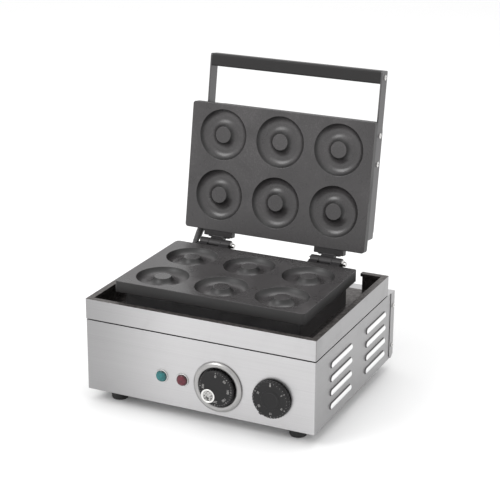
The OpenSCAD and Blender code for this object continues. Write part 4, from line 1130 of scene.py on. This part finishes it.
class DONUT_OT_studio(bpy.types.Operator):
    """Lay the floor, hang the lights and set up the camera"""

    bl_idname = "donut.studio"
    bl_label = "Studio"

    camera_at = (1.0390, -2.2204, 1.1097)
    camera_yaw = 25.05
    camera_pitch = 19.617
    camera_roll = 0.341

    def execute(self, context):
        look = context.scene.donut_studio
        scene = context.scene
        scene.view_settings.view_transform = "Standard"
        size = 14.0
        corners_xy = [[-size, -size, 0], [size, -size, 0], [size, size, 0], [-size, size, 0]]
        floor = mesh_piece("studio_floor", corners_xy, [[0, 1, 2, 3]], smooth=False)
        shade = Shade("floor_paper")
        cloud = shade.noise(1.3, 3.0, 0.5)
        base = shade.shades(cloud, look.floor_colour, (0.3, 0.985), (0.7, 1.0))
        floor.data.materials.append(shade.finish(base, None, None, {"Roughness": 0.85}))
        world = bpy.data.worlds.new("studio_sky")
        world.use_nodes = True
        sky = world.node_tree.nodes["Background"]
        sky.inputs["Color"].default_value = (1, 1, 1, 1)
        sky.inputs["Strength"].default_value = look.sky_strength
        scene.world = world
        self.lamp("key_light", look.key_power, 1.6, (-1.6, -2.2, 2.6), (0, 0, 0.2))
        self.lamp("top_light", look.key_power * 0.5, 1.8, (0.3, 0.4, 2.9), (0, 0, 0.2))
        data = bpy.data.cameras.new("studio_camera")
        data.sensor_width = 36.0
        data.lens = look.focal_length
        data.clip_end = 60.0
        camera = bpy.data.objects.new("studio_camera", data)
        yaw, pitch = math.radians(self.camera_yaw), math.radians(self.camera_pitch)
        forward = Vector((-math.sin(yaw) * math.cos(pitch), math.cos(yaw) * math.cos(pitch),
                          -math.sin(pitch)))
        turn = forward.to_track_quat("-Z", "Y").to_matrix().to_4x4()
        roll = Matrix.Rotation(math.radians(self.camera_roll), 4, "Z")
        camera.matrix_world = Matrix.Translation(self.camera_at) @ turn @ roll
        scene.collection.objects.link(camera)
        scene.camera = camera
        return {"FINISHED"}

    def lamp(self, name, power, size, at, aim):
        data = bpy.data.lights.new(name, "AREA")
        data.energy = power
        data.size = size
        light = bpy.data.objects.new(name, data)
        toward = Vector(aim) - Vector(at)
        light.matrix_world = (Matrix.Translation(at)
                              @ toward.to_track_quat("-Z", "Y").to_matrix().to_4x4())
        bpy.context.scene.collection.objects.link(light)


OPERATORS = [
    DONUT_OT_studio, DONUT_OT_case, DONUT_OT_moulds, DONUT_OT_hinges, DONUT_OT_cover,
    DONUT_OT_conduit, DONUT_OT_dials, DONUT_OT_bezel, DONUT_OT_lamps, DONUT_OT_inside,
]


class DONUT_PT_panel(bpy.types.Panel):
    """The donut maker's pieces and settings"""

    bl_idname = "DONUT_PT_panel"
    bl_label = "Donut maker"
    bl_space_type = "VIEW_3D"
    bl_region_type = "UI"
    bl_category = "Donut maker"

    def draw(self, context):
        for name, group in SETTINGS.items():
            box = self.layout.box()
            for prop in group.__annotations__:
                box.prop(getattr(context.scene, name), prop)
        for operator in OPERATORS:
            self.layout.operator(operator.bl_idname)


CLASSES = [*SETTINGS.values(), *OPERATORS, DONUT_PT_panel]


def register():
    for cls in CLASSES:
        bpy.utils.register_class(cls)
    for name, group in SETTINGS.items():
        setattr(bpy.types.Scene, name, PointerProperty(type=group))


def unregister():
    for name in SETTINGS:
        delattr(bpy.types.Scene, name)
    for cls in reversed(CLASSES):
        bpy.utils.unregister_class(cls)


def main():
    register()
    for operator in OPERATORS:
        group, name = operator.bl_idname.split(".")
        getattr(getattr(bpy.ops, group), name)()


if __name__ == "__main__":
    main()
